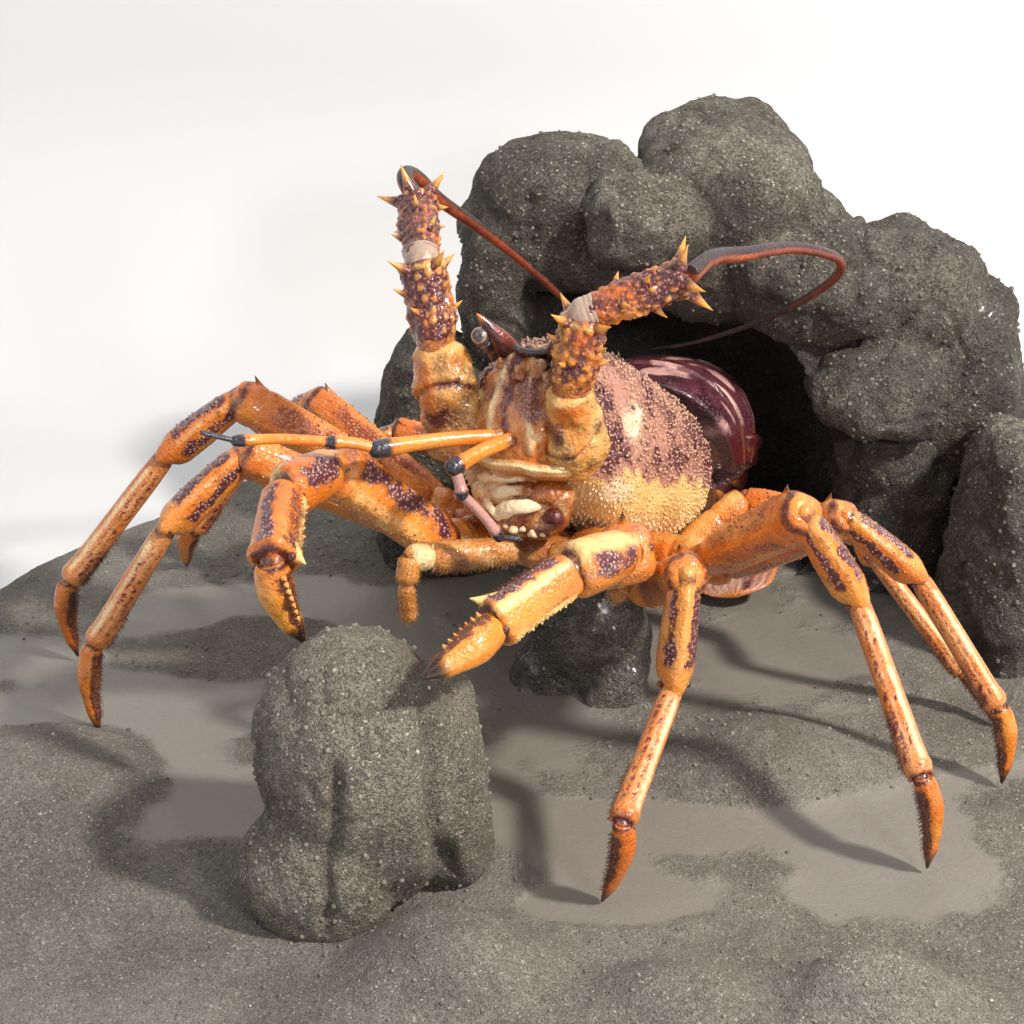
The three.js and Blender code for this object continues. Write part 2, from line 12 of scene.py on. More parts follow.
import bpy
import numpy as np
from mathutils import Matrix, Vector


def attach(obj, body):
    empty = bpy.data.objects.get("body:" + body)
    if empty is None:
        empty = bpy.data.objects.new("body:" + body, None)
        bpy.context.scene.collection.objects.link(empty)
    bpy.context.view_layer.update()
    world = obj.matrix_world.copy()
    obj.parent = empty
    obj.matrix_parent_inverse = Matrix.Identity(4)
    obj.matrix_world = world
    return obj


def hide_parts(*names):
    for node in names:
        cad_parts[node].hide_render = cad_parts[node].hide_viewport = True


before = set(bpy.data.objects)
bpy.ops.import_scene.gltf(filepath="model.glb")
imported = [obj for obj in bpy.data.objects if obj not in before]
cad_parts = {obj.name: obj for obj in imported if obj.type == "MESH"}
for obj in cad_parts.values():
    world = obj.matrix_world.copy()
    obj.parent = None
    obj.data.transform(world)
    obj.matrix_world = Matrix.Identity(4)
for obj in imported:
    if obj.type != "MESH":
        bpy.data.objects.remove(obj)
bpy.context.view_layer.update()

log = logging.getLogger("spiny lobster")

Array = np.ndarray
Mesh, Object, Material = bpy.types.Mesh, bpy.types.Object, bpy.types.Material
Node, NodeTree, Socket = bpy.types.Node, bpy.types.NodeTree, bpy.types.NodeSocket

# Driving dimensions
MM = 0.001
GROUND_CENTRE = np.array([10.0, -15.0, 26.0])  # from the middle of the base's underside to the world origin
BASE_SIZE = (670.0, 720.0)
BASE_THICKNESS = 26.0
CHEST_HEIGHT = 78.0
BODY_TURN = math.radians(22)
BODY_RISE = math.radians(23)
CARAPACE_WIDTH = 112.0
EYE_RADIUS = 4.6
FLAGELLUM_RADIUS = 4.4

FORWARD = np.array([
    -math.sin(BODY_TURN) * math.cos(BODY_RISE),
    -math.cos(BODY_TURN) * math.cos(BODY_RISE),
    math.sin(BODY_RISE),
])
LEFTWARD = np.array([math.cos(BODY_TURN), -math.sin(BODY_TURN), 0.0])
UPWARD = np.cross(FORWARD, LEFTWARD)

# What a surface carries at each point: dark patches, pale ones, deep stains, tips, and where hairs and spines
# grow. On rock, deep is wetness, pale is gloss, and dark is dampness and painted shade.
MASKS = ("dark", "pale", "deep", "tip", "hair", "spiny")

# Large odd numbers that scramble whole-number keys into repeatable draws
KEY_FACTORS = (374761393, 668265263, 1274126177)
SEED_FACTOR = 951274213
HASH_FACTOR = 1103515245


class Side(Enum):
    """The two sides of the animal, with the sign of its left and right."""

    LEFT = 1
    RIGHT = -1

    @property
    def word(self) -> str:
        """The side's name as it stands in the names of pieces and nodes."""
        return self.name.lower()


def on_body(x: float | Array, y: float | Array, z: float | Array) -> Array:
    """Turns body places into world places.

    Args:
        x: Millimetres forward of the middle of the breastplate.
        y: Millimetres to the animal's left.
        z: Millimetres above the breastplate, square to it.

    Returns:
        The places in the world, with the three coordinates on the last axis.
    """
    x, y, z = np.broadcast_arrays(x, y, z)
    place = x[..., None] * FORWARD + y[..., None] * LEFTWARD + z[..., None] * UPWARD
    return place + np.array([0.0, 0.0, CHEST_HEIGHT])


def body_points(points: Sequence) -> Array:
    """Turns an array of body places, (..., 3), into world places."""
    return on_body(*np.moveaxis(np.asarray(points, float), -1, 0))


def unit(vector: Array) -> Array:
    """The same direction with length one, along the last axis."""
    return vector / np.maximum(np.linalg.norm(vector, axis=-1, keepdims=True), 1e-9)


def along(row: Sequence[tuple[float, float]], place: Array | float) -> Array:
    """Reads values off a short row of (place, value) pairs, half eased between them."""
    places = np.array([p for p, _ in row], float)
    values = np.array([v for _, v in row], float)
    place = np.asarray(place, float)
    straight = np.interp(place, places, values)
    nearest = np.clip(np.searchsorted(places, place) - 1, 0, len(row) - 2)
    t = np.clip((place - places[nearest]) / (places[nearest + 1] - places[nearest]), 0, 1)
    eased = values[nearest] + (values[nearest + 1] - values[nearest]) * t * t * (3 - 2 * t)
    return (straight + eased) / 2


def bump(value: Array, centre: float, width: float) -> Array:
    """A smooth hump of height one around `centre`."""
    return np.exp(-(((value - centre) / width) ** 2))


def blob(x: Array, y: Array, place: Sequence[float], spread: Sequence[float], power: float = 1) -> Array:
    """A smooth mound of height one on a plane; a higher power makes it flatter on top."""
    return np.exp(-((((x - place[0]) / spread[0]) ** 2 + ((y - place[1]) / spread[1]) ** 2) ** power))


def step(value: Array, low: float, high: float) -> Array:
    """A smooth step from nought at `low` to one at `high`; it falls if `high` is the smaller."""
    t = np.clip((value - low) / (high - low), 0, 1)
    return t * t * (3 - 2 * t)


def turned(angle: Array, centre: float, width: float) -> Array:
    """A hump around an angle in degrees that wraps round at a full turn."""
    off = (angle - centre + 180) % 360 - 180
    return np.exp(-((off / width) ** 2))


def belt(angle: Array, centre: float, half: float, soft: float = 8.0) -> Array:
    """A flat-topped band of an angle in degrees, `half` to each side of `centre`, with soft edges."""
    off = np.abs((angle - centre + 180) % 360 - 180)
    return step(off, half + soft, half - soft)


def draw(keys: Iterable[Array], seed: int) -> Array:
    """Repeatable whole numbers from 0 to 65535 for whole-number keys."""
    h = sum(key * factor for key, factor in zip(keys, KEY_FACTORS)) + seed * SEED_FACTOR
    h = (h ^ (h >> 13)) * HASH_FACTOR
    return (h ^ (h >> 16)) & 0xFFFF


def chance(*keys: Array, seed: int) -> Array:
    """Repeatable values from 0 to 1 for whole-number keys."""
    return draw([np.asarray(key).astype(np.int64) for key in keys], seed) / 65535


def noise(points: Array, size: float, seed: int = 0, octaves: int = 1) -> Array:
    """Smooth repeatable noise, about -1 to 1.

    Args:
        points: Places, (..., 3).
        size: Millimetres from one swelling to the next.
        seed: Moves the pattern.
        octaves: How many finer layers are added, each half as large and half as strong.

    Returns:
        One value for each place.
    """
    flat = np.asarray(points, float).reshape(-1, 3)
    total = np.zeros(len(flat))
    for octave in range(octaves):
        p = flat * (2 ** octave / size) + 17.31 * (seed + 3 * octave)
        cell = np.floor(p).astype(np.int64)
        f = p - cell
        f = f * f * (3 - 2 * f)
        layer = np.zeros(len(flat))
        for corner in range(8):
            offset = np.array([corner & 1, corner >> 1 & 1, corner >> 2 & 1])
            weight = np.prod(np.where(offset == 1, f, 1 - f), axis=1)
            layer += weight * (draw((cell + offset).T, seed) / 32767.5 - 1)
        total += layer / 2 ** octave
    return total.reshape(np.shape(points)[:-1])


def blunted(way: Array, power: float) -> Array:
    """How far a blunt egg reaches in a direction; 2 is a true sphere, more is blockier."""
    return (np.abs(way) ** power).sum(axis=-1) ** (-1 / power)


def ripple(way: Array, seed: int) -> Array:
    """Gentle, repeatable unevenness over a sphere of directions."""
    x, y, z = np.moveaxis(way, -1, 0)
    return (np.sin(3.1 * x + 2.3 * seed) + np.sin(3.7 * y + 1.7 * seed + 2 * z)
            + np.sin(4.3 * z + 0.9 * seed + 1.5 * x))


def spline(points: Sequence[Sequence[float]], count: int) -> Array:
    """Evenly spaced places on a smooth curve through the given points."""
    p = np.array(points, float)
    p = np.vstack([2 * p[0] - p[1], p, 2 * p[-1] - p[-2]])
    dense = []
    for k in range(1, len(p) - 2):
        t = np.linspace(0, 1, 24, endpoint=False)[:, None]
        a, b, c, d = p[k - 1], p[k], p[k + 1], p[k + 2]
        dense.append(0.5 * (2 * b + (c - a) * t + (2 * a - 5 * b + 4 * c - d) * t ** 2
                            + (3 * b - a - 3 * c + d) * t ** 3))
    curve = np.vstack([*dense, p[-2:-1]])
    length = np.concatenate([[0], np.cumsum(np.linalg.norm(np.diff(curve, axis=0), axis=1))])
    where = np.linspace(0, length[-1], count)
    return np.stack([np.interp(where, length, curve[:, i]) for i in range(3)], axis=1)


def level_side(start: Array, end: Array) -> Array:
    """A level direction square to a line, or along X where the line is steep."""
    ahead = unit(np.asarray(end) - start)
    return np.array([1.0, 0, 0]) if abs(ahead[2]) > 0.8 else unit(np.cross([0, 0, 1.0], ahead))


def placed(name: str, data: bpy.types.ID | None) -> Object:
    """Puts a new object with the given data into the scene, at the origin."""
    made = bpy.data.objects.new(name, data)
    bpy.context.scene.collection.objects.link(made)
    return made


class Surface:
    """Gathers closed surfaces into one mesh, with masks at their points that its material reads."""

    def __init__(self) -> None:
        """Starts with nothing in it."""
        self.points: list[Array] = []
        self.quads: list[Array] = []
        self.triangles: list[Array] = []
        self.masks: dict[str, list[Array]] = {name: [] for name in (*MASKS, "u", "v")}
        self.leans: list[Array] = []
        self.count = 0
        self.parts = 0

    def grid(self, grid: Array, lean: Array | None = None, poles: Array | None = None,
             **masks: Array) -> None:
        """Adds a closed surface made of rings.

        Args:
            grid: Points of each ring, (rings, points of a ring, 3), anticlockwise about the way they follow.
            lean: The way that hairs and spines on it lie, (3,) or one for each point.
            poles: The points that close its two ends, or None for the middles of the end rings.
            **masks: Values from 0 to 1 for any of MASKS, that broadcast to the grid.
        """
        rings, around = grid.shape[:2]
        ends = grid[[0, -1]].mean(axis=1) if poles is None else poles
        start = self.count
        index = start + np.arange(rings * around).reshape(rings, around)
        after = np.roll(index, -1, axis=1)
        self.quads.append(np.stack([index[:-1], after[:-1], after[1:], index[1:]], axis=-1).reshape(-1, 4))
        first = start + rings * around
        for pole, (a, b) in ((first, (after[0], index[0])), (first + 1, (index[-1], after[-1]))):
            self.triangles.append(np.stack([np.full(around, pole), a, b], axis=-1))
        self.points += [grid.reshape(-1, 3), ends]
        u, v = np.meshgrid(np.arange(around) / around, np.arange(rings) / rings)
        tile = np.array([self.parts % 8, self.parts // 8 % 8]) / 8
        masks = {**masks, "u": tile[0] + u / 8.5, "v": tile[1] + v / 8.5}
        for name, rows in self.masks.items():
            full = np.broadcast_to(masks.get(name, 0.0), (rings, around))
            rows += [full.ravel(), full[[0, -1]].mean(axis=1)]
        way = np.broadcast_to(np.zeros(3) if lean is None else lean, (rings, around, 3))
        self.leans += [way.reshape(-1, 3), way[[0, -1]].mean(axis=1)]
        self.count += rings * around + 2
        self.parts += 1

    def patch(self, points: Array, quads: Array, **masks: Array) -> None:
        """Adds a closed surface from points, (points, 3), four-sided faces, (faces, 4), and masks."""
        self.quads.append(quads + self.count)
        self.points.append(points)
        across = unit(points - points.mean(axis=0))
        masks = {**masks, "u": np.arctan2(across[:, 1], across[:, 0]) / (2 * np.pi) + 0.5,
                 "v": np.arcsin(np.clip(across[:, 2], -1, 1)) / np.pi + 0.5}
        for name, rows in self.masks.items():
            rows.append(np.broadcast_to(masks.get(name, 0.0), len(points)).ravel())
        self.leans.append(np.zeros((len(points), 3)))
        self.count += len(points)
        self.parts += 1

    def ball(self, centre: Sequence[float], radii: Sequence[float], size: tuple[int, int] = (14, 20),
             place: Callable[..., Array] | None = None, blunt: float = 2.0, rough: float = 0.0,
             seed: int = 0, **masks: Array) -> None:
        """Adds a rounded lump.

        Args:
            centre: Its middle.
            radii: Its three half sizes.
            size: Its rings and the points of a ring.
            place: Turns its own places into world ones, such as on_body, or None.
            blunt: 2 for an egg, more for a blunter block.
            rough: How uneven it is, as a share of its size.
            seed: Picks its unevenness.
            **masks: Masks, as in grid.
        """
        lift = np.radians(np.linspace(-90, 90, size[0] + 2)[1:-1])[:, None]
        turn = np.linspace(0, 2 * np.pi, size[1], endpoint=False)[None]
        d = np.stack([np.cos(lift) * np.cos(turn), np.cos(lift) * np.sin(turn),
                      np.sin(lift) * np.ones_like(turn)], axis=-1)
        caps = np.array([[0, 0, -1.0], [0, 0, 1.0]])
        shaped = [np.asarray(centre) + v * np.asarray(radii) * (blunted(v, blunt)
                  * (1 + rough * ripple(v, seed)))[..., None] for v in (d, caps)]
        if place is not None:
            shaped = [place(s[..., 0], s[..., 1], s[..., 2]) for s in shaped]
        self.grid(shaped[0], poles=shaped[1], **masks)

    def thorn(self, root: Array, point: Array, radius: float, hook: Array | float = 0.0,
              sides: int = 10, **masks: Array) -> None:
        """Adds a thorn that widens into what it grows from and carries the tip mask at its point."""
        t = np.linspace(0, 1, 9)
        path = root + (point - root) * t[:, None] + np.asarray(hook) * (t * (1 - t))[:, None]
        girth = radius * (0.42 * (1 - t) ** 2.2 + 0.58 * (1 - t ** 1.5)) + 0.12
        masks.setdefault("tip", 0.95 * step(t, 0.3, 0.85)[:, None])
        self.grid(loft(path, girth, girth, level_side(root, point), sides), **masks)

    def mesh(self, name: str) -> Mesh:
        """The gathered surfaces as a smooth mesh in metres, with the masks as its attributes."""
        mesh = bpy.data.meshes.new(name)
        points = (np.vstack(self.points) + GROUND_CENTRE) * MM
        quads = np.vstack(self.quads)
        triangles = np.vstack([np.zeros((0, 3), int), *self.triangles])
        corners = np.concatenate([quads.ravel(), triangles.ravel()])
        starts = np.concatenate([np.arange(len(quads)) * 4, len(quads) * 4 + np.arange(len(triangles)) * 3])
        mesh.vertices.add(len(points))
        mesh.vertices.foreach_set("co", points.astype(np.float32).ravel())
        mesh.loops.add(len(corners))
        mesh.loops.foreach_set("vertex_index", corners.astype(np.int32))
        mesh.polygons.add(len(starts))
        mesh.polygons.foreach_set("loop_start", starts.astype(np.int32))
        mesh.update(calc_edges=True)
        for mask, rows in self.masks.items():
            layer = mesh.attributes.new(mask, "FLOAT", "POINT")
            layer.data.foreach_set("value", np.concatenate(rows).astype(np.float32))
        layer = mesh.attributes.new("lean", "FLOAT_VECTOR", "POINT")
        layer.data.foreach_set("vector", np.vstack(self.leans).astype(np.float32).ravel())
        mesh.shade_smooth()
        mesh.validate()
        return mesh


def loft(path: Array, wide: Array | float, deep: Array | float, side: Array,
         around: int, swell: Array | float = 1.0) -> Array:
    """Rings along a path.

    Args:
        path: The middles of the rings, (rings, 3).
        wide: Half width of each ring along the side direction.
        deep: Half width square to it.
        side: The side direction at the start; it is carried along without twisting.
        around: Points of a ring, from the side direction round by way of the top.
        swell: Share of the radius at each point, (rings, points of a ring).

    Returns:
        The points, (rings, points of a ring, 3).
    """
    ahead = unit(np.gradient(path, axis=0))
    across = np.zeros_like(path)
    now = np.asarray(side, float)
    for k, way in enumerate(ahead):
        now = unit(now - way * (now @ way))
        across[k] = now
    up = np.cross(ahead, across)
    angle = np.linspace(0, 2 * np.pi, around, endpoint=False)
    wide = np.broadcast_to(wide, len(path))[:, None] * np.cos(angle) * swell
    deep = np.broadcast_to(deep, len(path))[:, None] * np.sin(angle) * swell
    return path[:, None] + across[:, None] * wide[..., None] + up[:, None] * deep[..., None]


def lengthwise(start: Array, end: Array, before: float, after: float, row: float
               ) -> tuple[Array, Array, Array]:
    """Distances along a straight length, the same as shares of it, and the places of its rings.

    Args:
        start: Where the length starts.
        end: Where it ends.
        before: Millimetres that the surface runs on before the start.
        after: Millimetres that it runs on after the end.
        row: Millimetres from ring to ring.

    Returns:
        The distances, the shares from 0 to 1, and the places.
    """
    length = float(np.linalg.norm(end - start))
    s = stretch(-before, length + after, row)
    return s, s / length, start + (end - start) * (s / length)[:, None]


def degrees_around(around: int) -> Array:
    """The angle of each point of a ring, in degrees, as one row."""
    return np.linspace(0, 360, around, endpoint=False)[None]


# Shader building


def linear(colour: str) -> tuple[float, float, float, float]:
    """A colour written as rrggbb in the linear values that shaders take."""
    parts = [int(colour[i:i + 2], 16) / 255 for i in (0, 2, 4)]
    return (*(p / 12.92 if p <= 0.04045 else ((p + 0.055) / 1.055) ** 2.4 for p in parts), 1.0)


class Graph:
    """Places shader nodes in a tree and joins them."""

    def __init__(self, tree: NodeTree) -> None:
        """Works on the given tree."""
        self.tree = tree

    def node(self, kind: str, **settings: object) -> Node:
        """Places a node and sets its properties."""
        made = self.tree.nodes.new(kind)
        for name, value in settings.items():
            setattr(made, name, value)
        return made

    def feed(self, socket: Socket, value: object) -> None:
        """Joins another node's socket to this one, or sets a constant on it."""
        if isinstance(value, Socket):
            self.tree.links.new(value, socket)
        elif isinstance(value, str) and socket.type == "RGBA":
            socket.default_value = linear(value)
        else:
            socket.default_value = value

    def wire(self, node: Node, **inputs: object) -> Node:
        """Feeds a node's named inputs; a name's underscores stand for spaces."""
        for name, value in inputs.items():
            self.feed(node.inputs[name.replace("_", " ")], value)
        return node

    def math(self, operation: str, *values: object, clamp: bool = False) -> Socket:
        """A sum of plain numbers, such as ADD, MULTIPLY or POWER."""
        made = self.node("ShaderNodeMath", operation=operation, use_clamp=clamp)
        for socket, value in zip(made.inputs, values):
            self.feed(socket, value)
        return made.outputs[0]

    def mix(self, factor: object, first: object, second: object) -> Socket:
        """A mix of two colours."""
        made = self.node("ShaderNodeMix", data_type="RGBA")
        for socket, value in zip((made.inputs[0], made.inputs[6], made.inputs[7]), (factor, first, second)):
            self.feed(socket, value)
        return made.outputs[2]

    def fit(self, value: object, low: float, high: float, start: float = 0.0, end: float = 1.0
            ) -> Socket:
        """A smooth step of a value from one range to another."""
        made = self.node("ShaderNodeMapRange", interpolation_type="SMOOTHSTEP")
        for socket, part in zip(made.inputs, (value, low, high, start, end)):
            self.feed(socket, part)
        return made.outputs[0]

    def attribute(self, name: str) -> Socket:
        """A mask that the mesh carries."""
        return self.node("ShaderNodeAttribute", attribute_name=name).outputs["Fac"]

    def place(self) -> Socket:
        """The place on the object, in metres."""
        return self.node("ShaderNodeTexCoord").outputs["Object"]

    def cloud(self, place: object, size: float, detail: float = 2.0, rough: float = 0.5
              ) -> Socket:
        """Cloudy noise from 0 to 1, with swellings of about `size` millimetres."""
        return self.wire(self.node("ShaderNodeTexNoise"), Vector=place, Scale=1 / (size * MM), Detail=detail,
                         Roughness=rough).outputs["Fac"]

    def cells(self, place: object, size: Socket) -> Node:
        """Cells, `size` of them to a metre; its outputs are Distance and Color."""
        return self.wire(self.node("ShaderNodeTexVoronoi"), Vector=place, Scale=size)

    def group(self, tree: NodeTree, **inputs: object) -> Node:
        """Places a node group with its named inputs."""
        return self.wire(self.node("ShaderNodeGroup", node_tree=tree), **inputs)

    def red(self, colour: Socket) -> Socket:
        """The red part of a colour, as a plain number."""
        return self.wire(self.node("ShaderNodeSeparateColor"), Color=colour).outputs[0]

    def shaded(self, colour: Socket, value: Socket) -> Socket:
        """A colour made darker or lighter."""
        return self.wire(self.node("ShaderNodeHueSaturation"), Value=value, Color=colour).outputs[0]

    def relief(self, height: object, distance: float, under: object = None) -> Socket:
        """A normal from a height from 0 to 1 that stands for `distance` millimetres."""
        made = self.wire(self.node("ShaderNodeBump"), Height=height, Distance=distance * MM)
        if under is not None:
            self.feed(made.inputs["Normal"], under)
        return made.outputs["Normal"]


def new_material(name: str) -> tuple[Material, Graph, Node]:
    """Starts a material and returns it with a graph on it and its main shader."""
    made = bpy.data.materials.new(name)
    made.use_nodes = True
    return made, Graph(made.node_tree), made.node_tree.nodes["Principled BSDF"]


def new_group(name: str, inputs: dict[str, tuple[str, object]], outputs: dict[str, str]
              ) -> tuple[Graph, Node, Node]:
    """Starts a shader node group.

    Args:
        name: The group's name.
        inputs: Each input's name with its kind, Float, Vector or Color, and its value or None.
        outputs: Each output's name with its kind.

    Returns:
        A graph on the group, its input node and its output node.
    """
    tree = bpy.data.node_groups.new(name, "ShaderNodeTree")
    for socket, (kind, value) in inputs.items():
        made = tree.interface.new_socket(socket, in_out="INPUT", socket_type=f"NodeSocket{kind}")
        if value is not None:
            made.default_value = value
    for socket, kind in outputs.items():
        tree.interface.new_socket(socket, in_out="OUTPUT", socket_type=f"NodeSocket{kind}")
    graph = Graph(tree)
    return graph, graph.node("NodeGroupInput"), graph.node("NodeGroupOutput")


def mottle_group() -> NodeTree:
    """A soft mask made into patches with crumbled edges: the factor is 1 inside a patch."""
    graph, given, out = new_group(
        "mottle",
        {"Mask": ("Float", 0.0), "Place": ("Vector", None), "Patch": ("Float", 300.0),
         "Crumb": ("Float", 900.0), "Edge": ("Float", 0.12)},
        {"Factor": "Float"},
    )
    total = given.outputs["Mask"]
    for scale, weight in (("Patch", 0.9), ("Crumb", 0.5)):
        made = graph.wire(graph.node("ShaderNodeTexNoise"), Vector=given.outputs["Place"],
                          Scale=given.outputs[scale], Detail=2.0)
        offset = graph.math("MULTIPLY_ADD", made.outputs["Fac"], weight, -weight / 2)
        total = graph.math("ADD", total, offset)
    low, high = (graph.math(kind, 0.5, given.outputs["Edge"]) for kind in ("SUBTRACT", "ADD"))
    graph.wire(out, Factor=graph.fit(total, low, high))
    return graph.tree


def granule_group() -> NodeTree:
    """Rounded granules: their height, and a spot on the crown of each."""
    graph, given, out = new_group(
        "granules",
        {"Place": ("Vector", None), "Scale": ("Float", 600.0)},
        {"Height": "Float", "Crown": "Float", "Shade": "Float"},
    )
    cells = graph.cells(given.outputs["Place"], given.outputs["Scale"])
    away = cells.outputs["Distance"]
    graph.wire(out, Height=graph.fit(away, 0.62, 0.05), Crown=graph.fit(away, 0.5, 0.3),
               Shade=graph.red(cells.outputs["Color"]))
    return graph.tree


def grit_group() -> NodeTree:
    """Sand: the height of its grains, and how light each grain is."""
    graph, given, out = new_group(
        "grit",
        {"Place": ("Vector", None), "Scale": ("Float", 1000.0)},
        {"Height": "Float", "Fleck": "Float", "Glint": "Float"},
    )
    fine = graph.cells(given.outputs["Place"], given.outputs["Scale"])
    coarse = graph.cells(given.outputs["Place"], graph.math("MULTIPLY", given.outputs["Scale"], 0.42))
    heights = [graph.fit(cells.outputs["Distance"], 0.6, 0.0) for cells in (fine, coarse)]
    shades = [graph.red(cells.outputs["Color"]) for cells in (fine, coarse)]
    stones = graph.math("MULTIPLY", heights[1], graph.fit(shades[1], 0.55, 0.95))
    graph.wire(out, Height=graph.math("MULTIPLY_ADD", stones, 1.4, heights[0]),
               Fleck=graph.math("MULTIPLY_ADD", shades[1], 0.4, graph.math("MULTIPLY", shades[0], 0.6)),
               Glint=graph.fit(shades[0], 0.975, 0.995))
    return graph.tree


class Shared:
    """The shader node groups that several finishes use, each built once."""

    def __init__(self) -> None:
        """Builds the groups."""
        self.mottle = mottle_group()
        self.granules = granule_group()
        self.grit = grit_group()

    def patches(self, graph: Graph, mask: Socket, place: Socket, patch: float, crumb: float, edge: float
                ) -> Socket:
        """Where the patches of a mask lie.

        Args:
            graph: The material's graph.
            mask: The soft mask.
            place: The place on the object.
            patch: Millimetres from one bay of a patch's outline to the next.
            crumb: The same for the finest crumbs of its edge.
            edge: How soft the edge is.

        Returns:
            One inside a patch, nought outside.
        """
        return graph.group(self.mottle, Mask=mask, Place=place, Patch=1 / (patch * MM),
                           Crumb=1 / (crumb * MM), Edge=edge).outputs[0]


@dataclass(frozen=True)
class ShellFinish:
    """A varnished shell: its main colours and what each mask turns them to."""

    name: str
    slot: str
    main: str
    second: str
    dark: str
    spot: str
    pale: str
    deep: str
    tip: str
    grain: float = 1.7           # millimetres from one granule to the next
    grain_height: float = 0.5
    patch: float = 5.0
    second_size: float = 28.0
    roughness: float = 0.28
    coat: float = 0.6
    translucency: float = 0.05
    stain: float = 0.38          # how strongly brown clouds show all over
    flush: str = ""              # tint where spines grow

    def material(self, shared: Shared) -> Material:
        """Builds the material."""
        made, graph, shader = new_material(self.name)
        place = graph.place()
        masks = {name: graph.attribute(name) for name in ("dark", "pale", "deep", "tip")}
        drift = graph.fit(graph.cloud(place, self.second_size, 3.0), 0.38, 0.66)
        fine = graph.cloud(place, 0.9, 3.0, 0.65)
        granules = graph.group(shared.granules, Place=place, Scale=1 / (self.grain * MM))
        colour = graph.mix(drift, self.main, self.second)
        stain = graph.fit(graph.cloud(place, 5.0, 4.0, 0.62), 0.5, 0.72, 0.0, self.stain)
        colour = graph.mix(stain, colour, self.dark)
        if self.flush:
            colour = graph.mix(graph.fit(graph.attribute("spiny"), 0.04, 0.3), colour, self.flush)
        colour = graph.mix(shared.patches(graph, masks["pale"], place, 9, 2.4, 0.42), colour, self.pale)
        dark = shared.patches(graph, masks["dark"], place, self.patch, 1.3, 0.32)
        spotted = graph.math("MULTIPLY", granules.outputs["Crown"], graph.fit(
            granules.outputs["Shade"], 0.15, 0.45, 0.0, 0.92))
        colour = graph.mix(dark, colour, graph.mix(spotted, self.dark, self.spot))
        colour = graph.mix(shared.patches(graph, masks["deep"], place, 6, 1.5, 0.3), colour, self.deep)
        colour = graph.mix(masks["tip"], colour, self.tip)
        colour = graph.shaded(colour, graph.fit(fine, 0.25, 0.75, 0.85, 1.12))
        rough = graph.fit(fine, 0.3, 0.7, self.roughness - 0.1, self.roughness + 0.12)
        graininess = graph.math("MULTIPLY_ADD", dark, 0.55, 0.45)
        smooth = graph.math("SUBTRACT", 1.0, graph.math("MAXIMUM", masks["tip"], masks["deep"]), clamp=True)
        height = graph.math("MULTIPLY", granules.outputs["Height"], graph.math(
            "MULTIPLY", graininess, smooth))
        waves = graph.relief(graph.cloud(place, 4.0, 4.0, 0.6), 0.9)
        graph.wire(shader, Base_Color=colour, Roughness=rough, Coat_Weight=self.coat, Coat_Roughness=0.07,
                   Normal=graph.relief(height, self.grain_height, waves), Subsurface_Scale=1.0,
                   Subsurface_Weight=self.translucency, Subsurface_Radius=(0.004, 0.0016, 0.0007))
        return made


@dataclass(frozen=True)
class SandFinish:
    """Cast rock covered in sand, with smooth wet places where the mesh says so."""

    name: str
    slot: str
    light: str
    dark: str
    # The colour of wet places; where the dark mask asks for it, it is laid on as painted shade too.
    wet: str
    fleck: str
    grain: float = 0.95
    grain_height: float = 0.55
    speckle: float = 0.5         # how much single grains differ
    roughness: float = 0.92

    def material(self, shared: Shared) -> Material:
        """Builds the material: deep is how wet the rock is, dark its dampness and painted shade, pale its
        gloss.
        """
        made, graph, shader = new_material(self.name)
        place = graph.place()
        grit = graph.group(shared.grit, Place=place, Scale=1 / (self.grain * MM))
        broad = graph.cloud(place, 60.0, 4.0, 0.6)
        small = graph.cloud(place, 7.0, 4.0, 0.65)
        wet = shared.patches(graph, graph.attribute("deep"), place, 30, 4, 0.34)
        colour = graph.mix(graph.fit(broad, 0.3, 0.7), self.dark, self.light)
        colour = graph.mix(graph.fit(small, 0.35, 0.75, 0.0, 0.45), colour, self.dark)
        lightness = graph.fit(grit.outputs["Fleck"], 0.1, 0.9, 1 - self.speckle, 1 + self.speckle)
        colour = graph.mix(grit.outputs["Glint"], graph.shaded(colour, lightness), self.fleck)
        # The dark mask mixes in the wet colour: dampness, and painted shade where the rocks and the ground
        # mark shade.
        colour = graph.mix(graph.math("MULTIPLY", graph.attribute("dark"), 0.75), colour, self.wet)
        colour = graph.mix(graph.math("MULTIPLY", wet, 0.85), colour, self.wet)
        dry = graph.math("SUBTRACT", 1.0, wet)
        rough = graph.math("MULTIPLY_ADD", wet, 0.42 - self.roughness, self.roughness)
        glossy = graph.attribute("pale")
        rough = graph.math("MULTIPLY_ADD", glossy, -0.32, rough)
        crust = graph.math("MULTIPLY_ADD", dry, 0.82, 0.18)
        lumps = graph.relief(graph.math("MULTIPLY", small, crust), 2.0, under=graph.relief(
            graph.math("MULTIPLY", graph.cloud(place, 2.4, 3.0), crust), 0.6))
        height = graph.math("MULTIPLY", grit.outputs["Height"], crust)
        graph.wire(shader, Base_Color=colour, Roughness=rough, Coat_Roughness=0.18,
                   Coat_Weight=graph.math("MULTIPLY", glossy, 0.6),
                   Normal=graph.relief(height, self.grain_height, lumps))
        return made


Finish = ShellFinish | SandFinish

ORANGE = ShellFinish("orange shell", "orange_shell", "cd6c1c", "dd8c34", "96421f", "d6945c", "e2a458",
                     "52201a", "3a1a10", grain=1.6, patch=4.0, second_size=20.0)
KNEE = ShellFinish("knee shell", "orange_shell", "d2701c", "dc9038", "5a2628", "c9988a", "e6ba74", "441a1c",
                   "2a1410", patch=4.0)
DACTYL = ShellFinish("dactyl shell", "orange_shell", "cf6a18", "d88426", "5a2612", "8a4a22", "eab060",
                     "4a1612", "1c0e0c", grain=1.4)
CLAW_TIP = ShellFinish("claw tip shell", "orange_shell", "db8226", "e39a3c", "6a3418", "94552a", "f2cc84",
                       "4a1612", "110c0d", grain=1.6)
MAXILLIPED = ShellFinish("maxilliped shell", "orange_shell", "d08e3e", "c07a38", "80502a", "b07c46", "ecd09a",
                         "5a2a30", "e0c08a", grain=1.5, grain_height=0.6, stain=0.2)
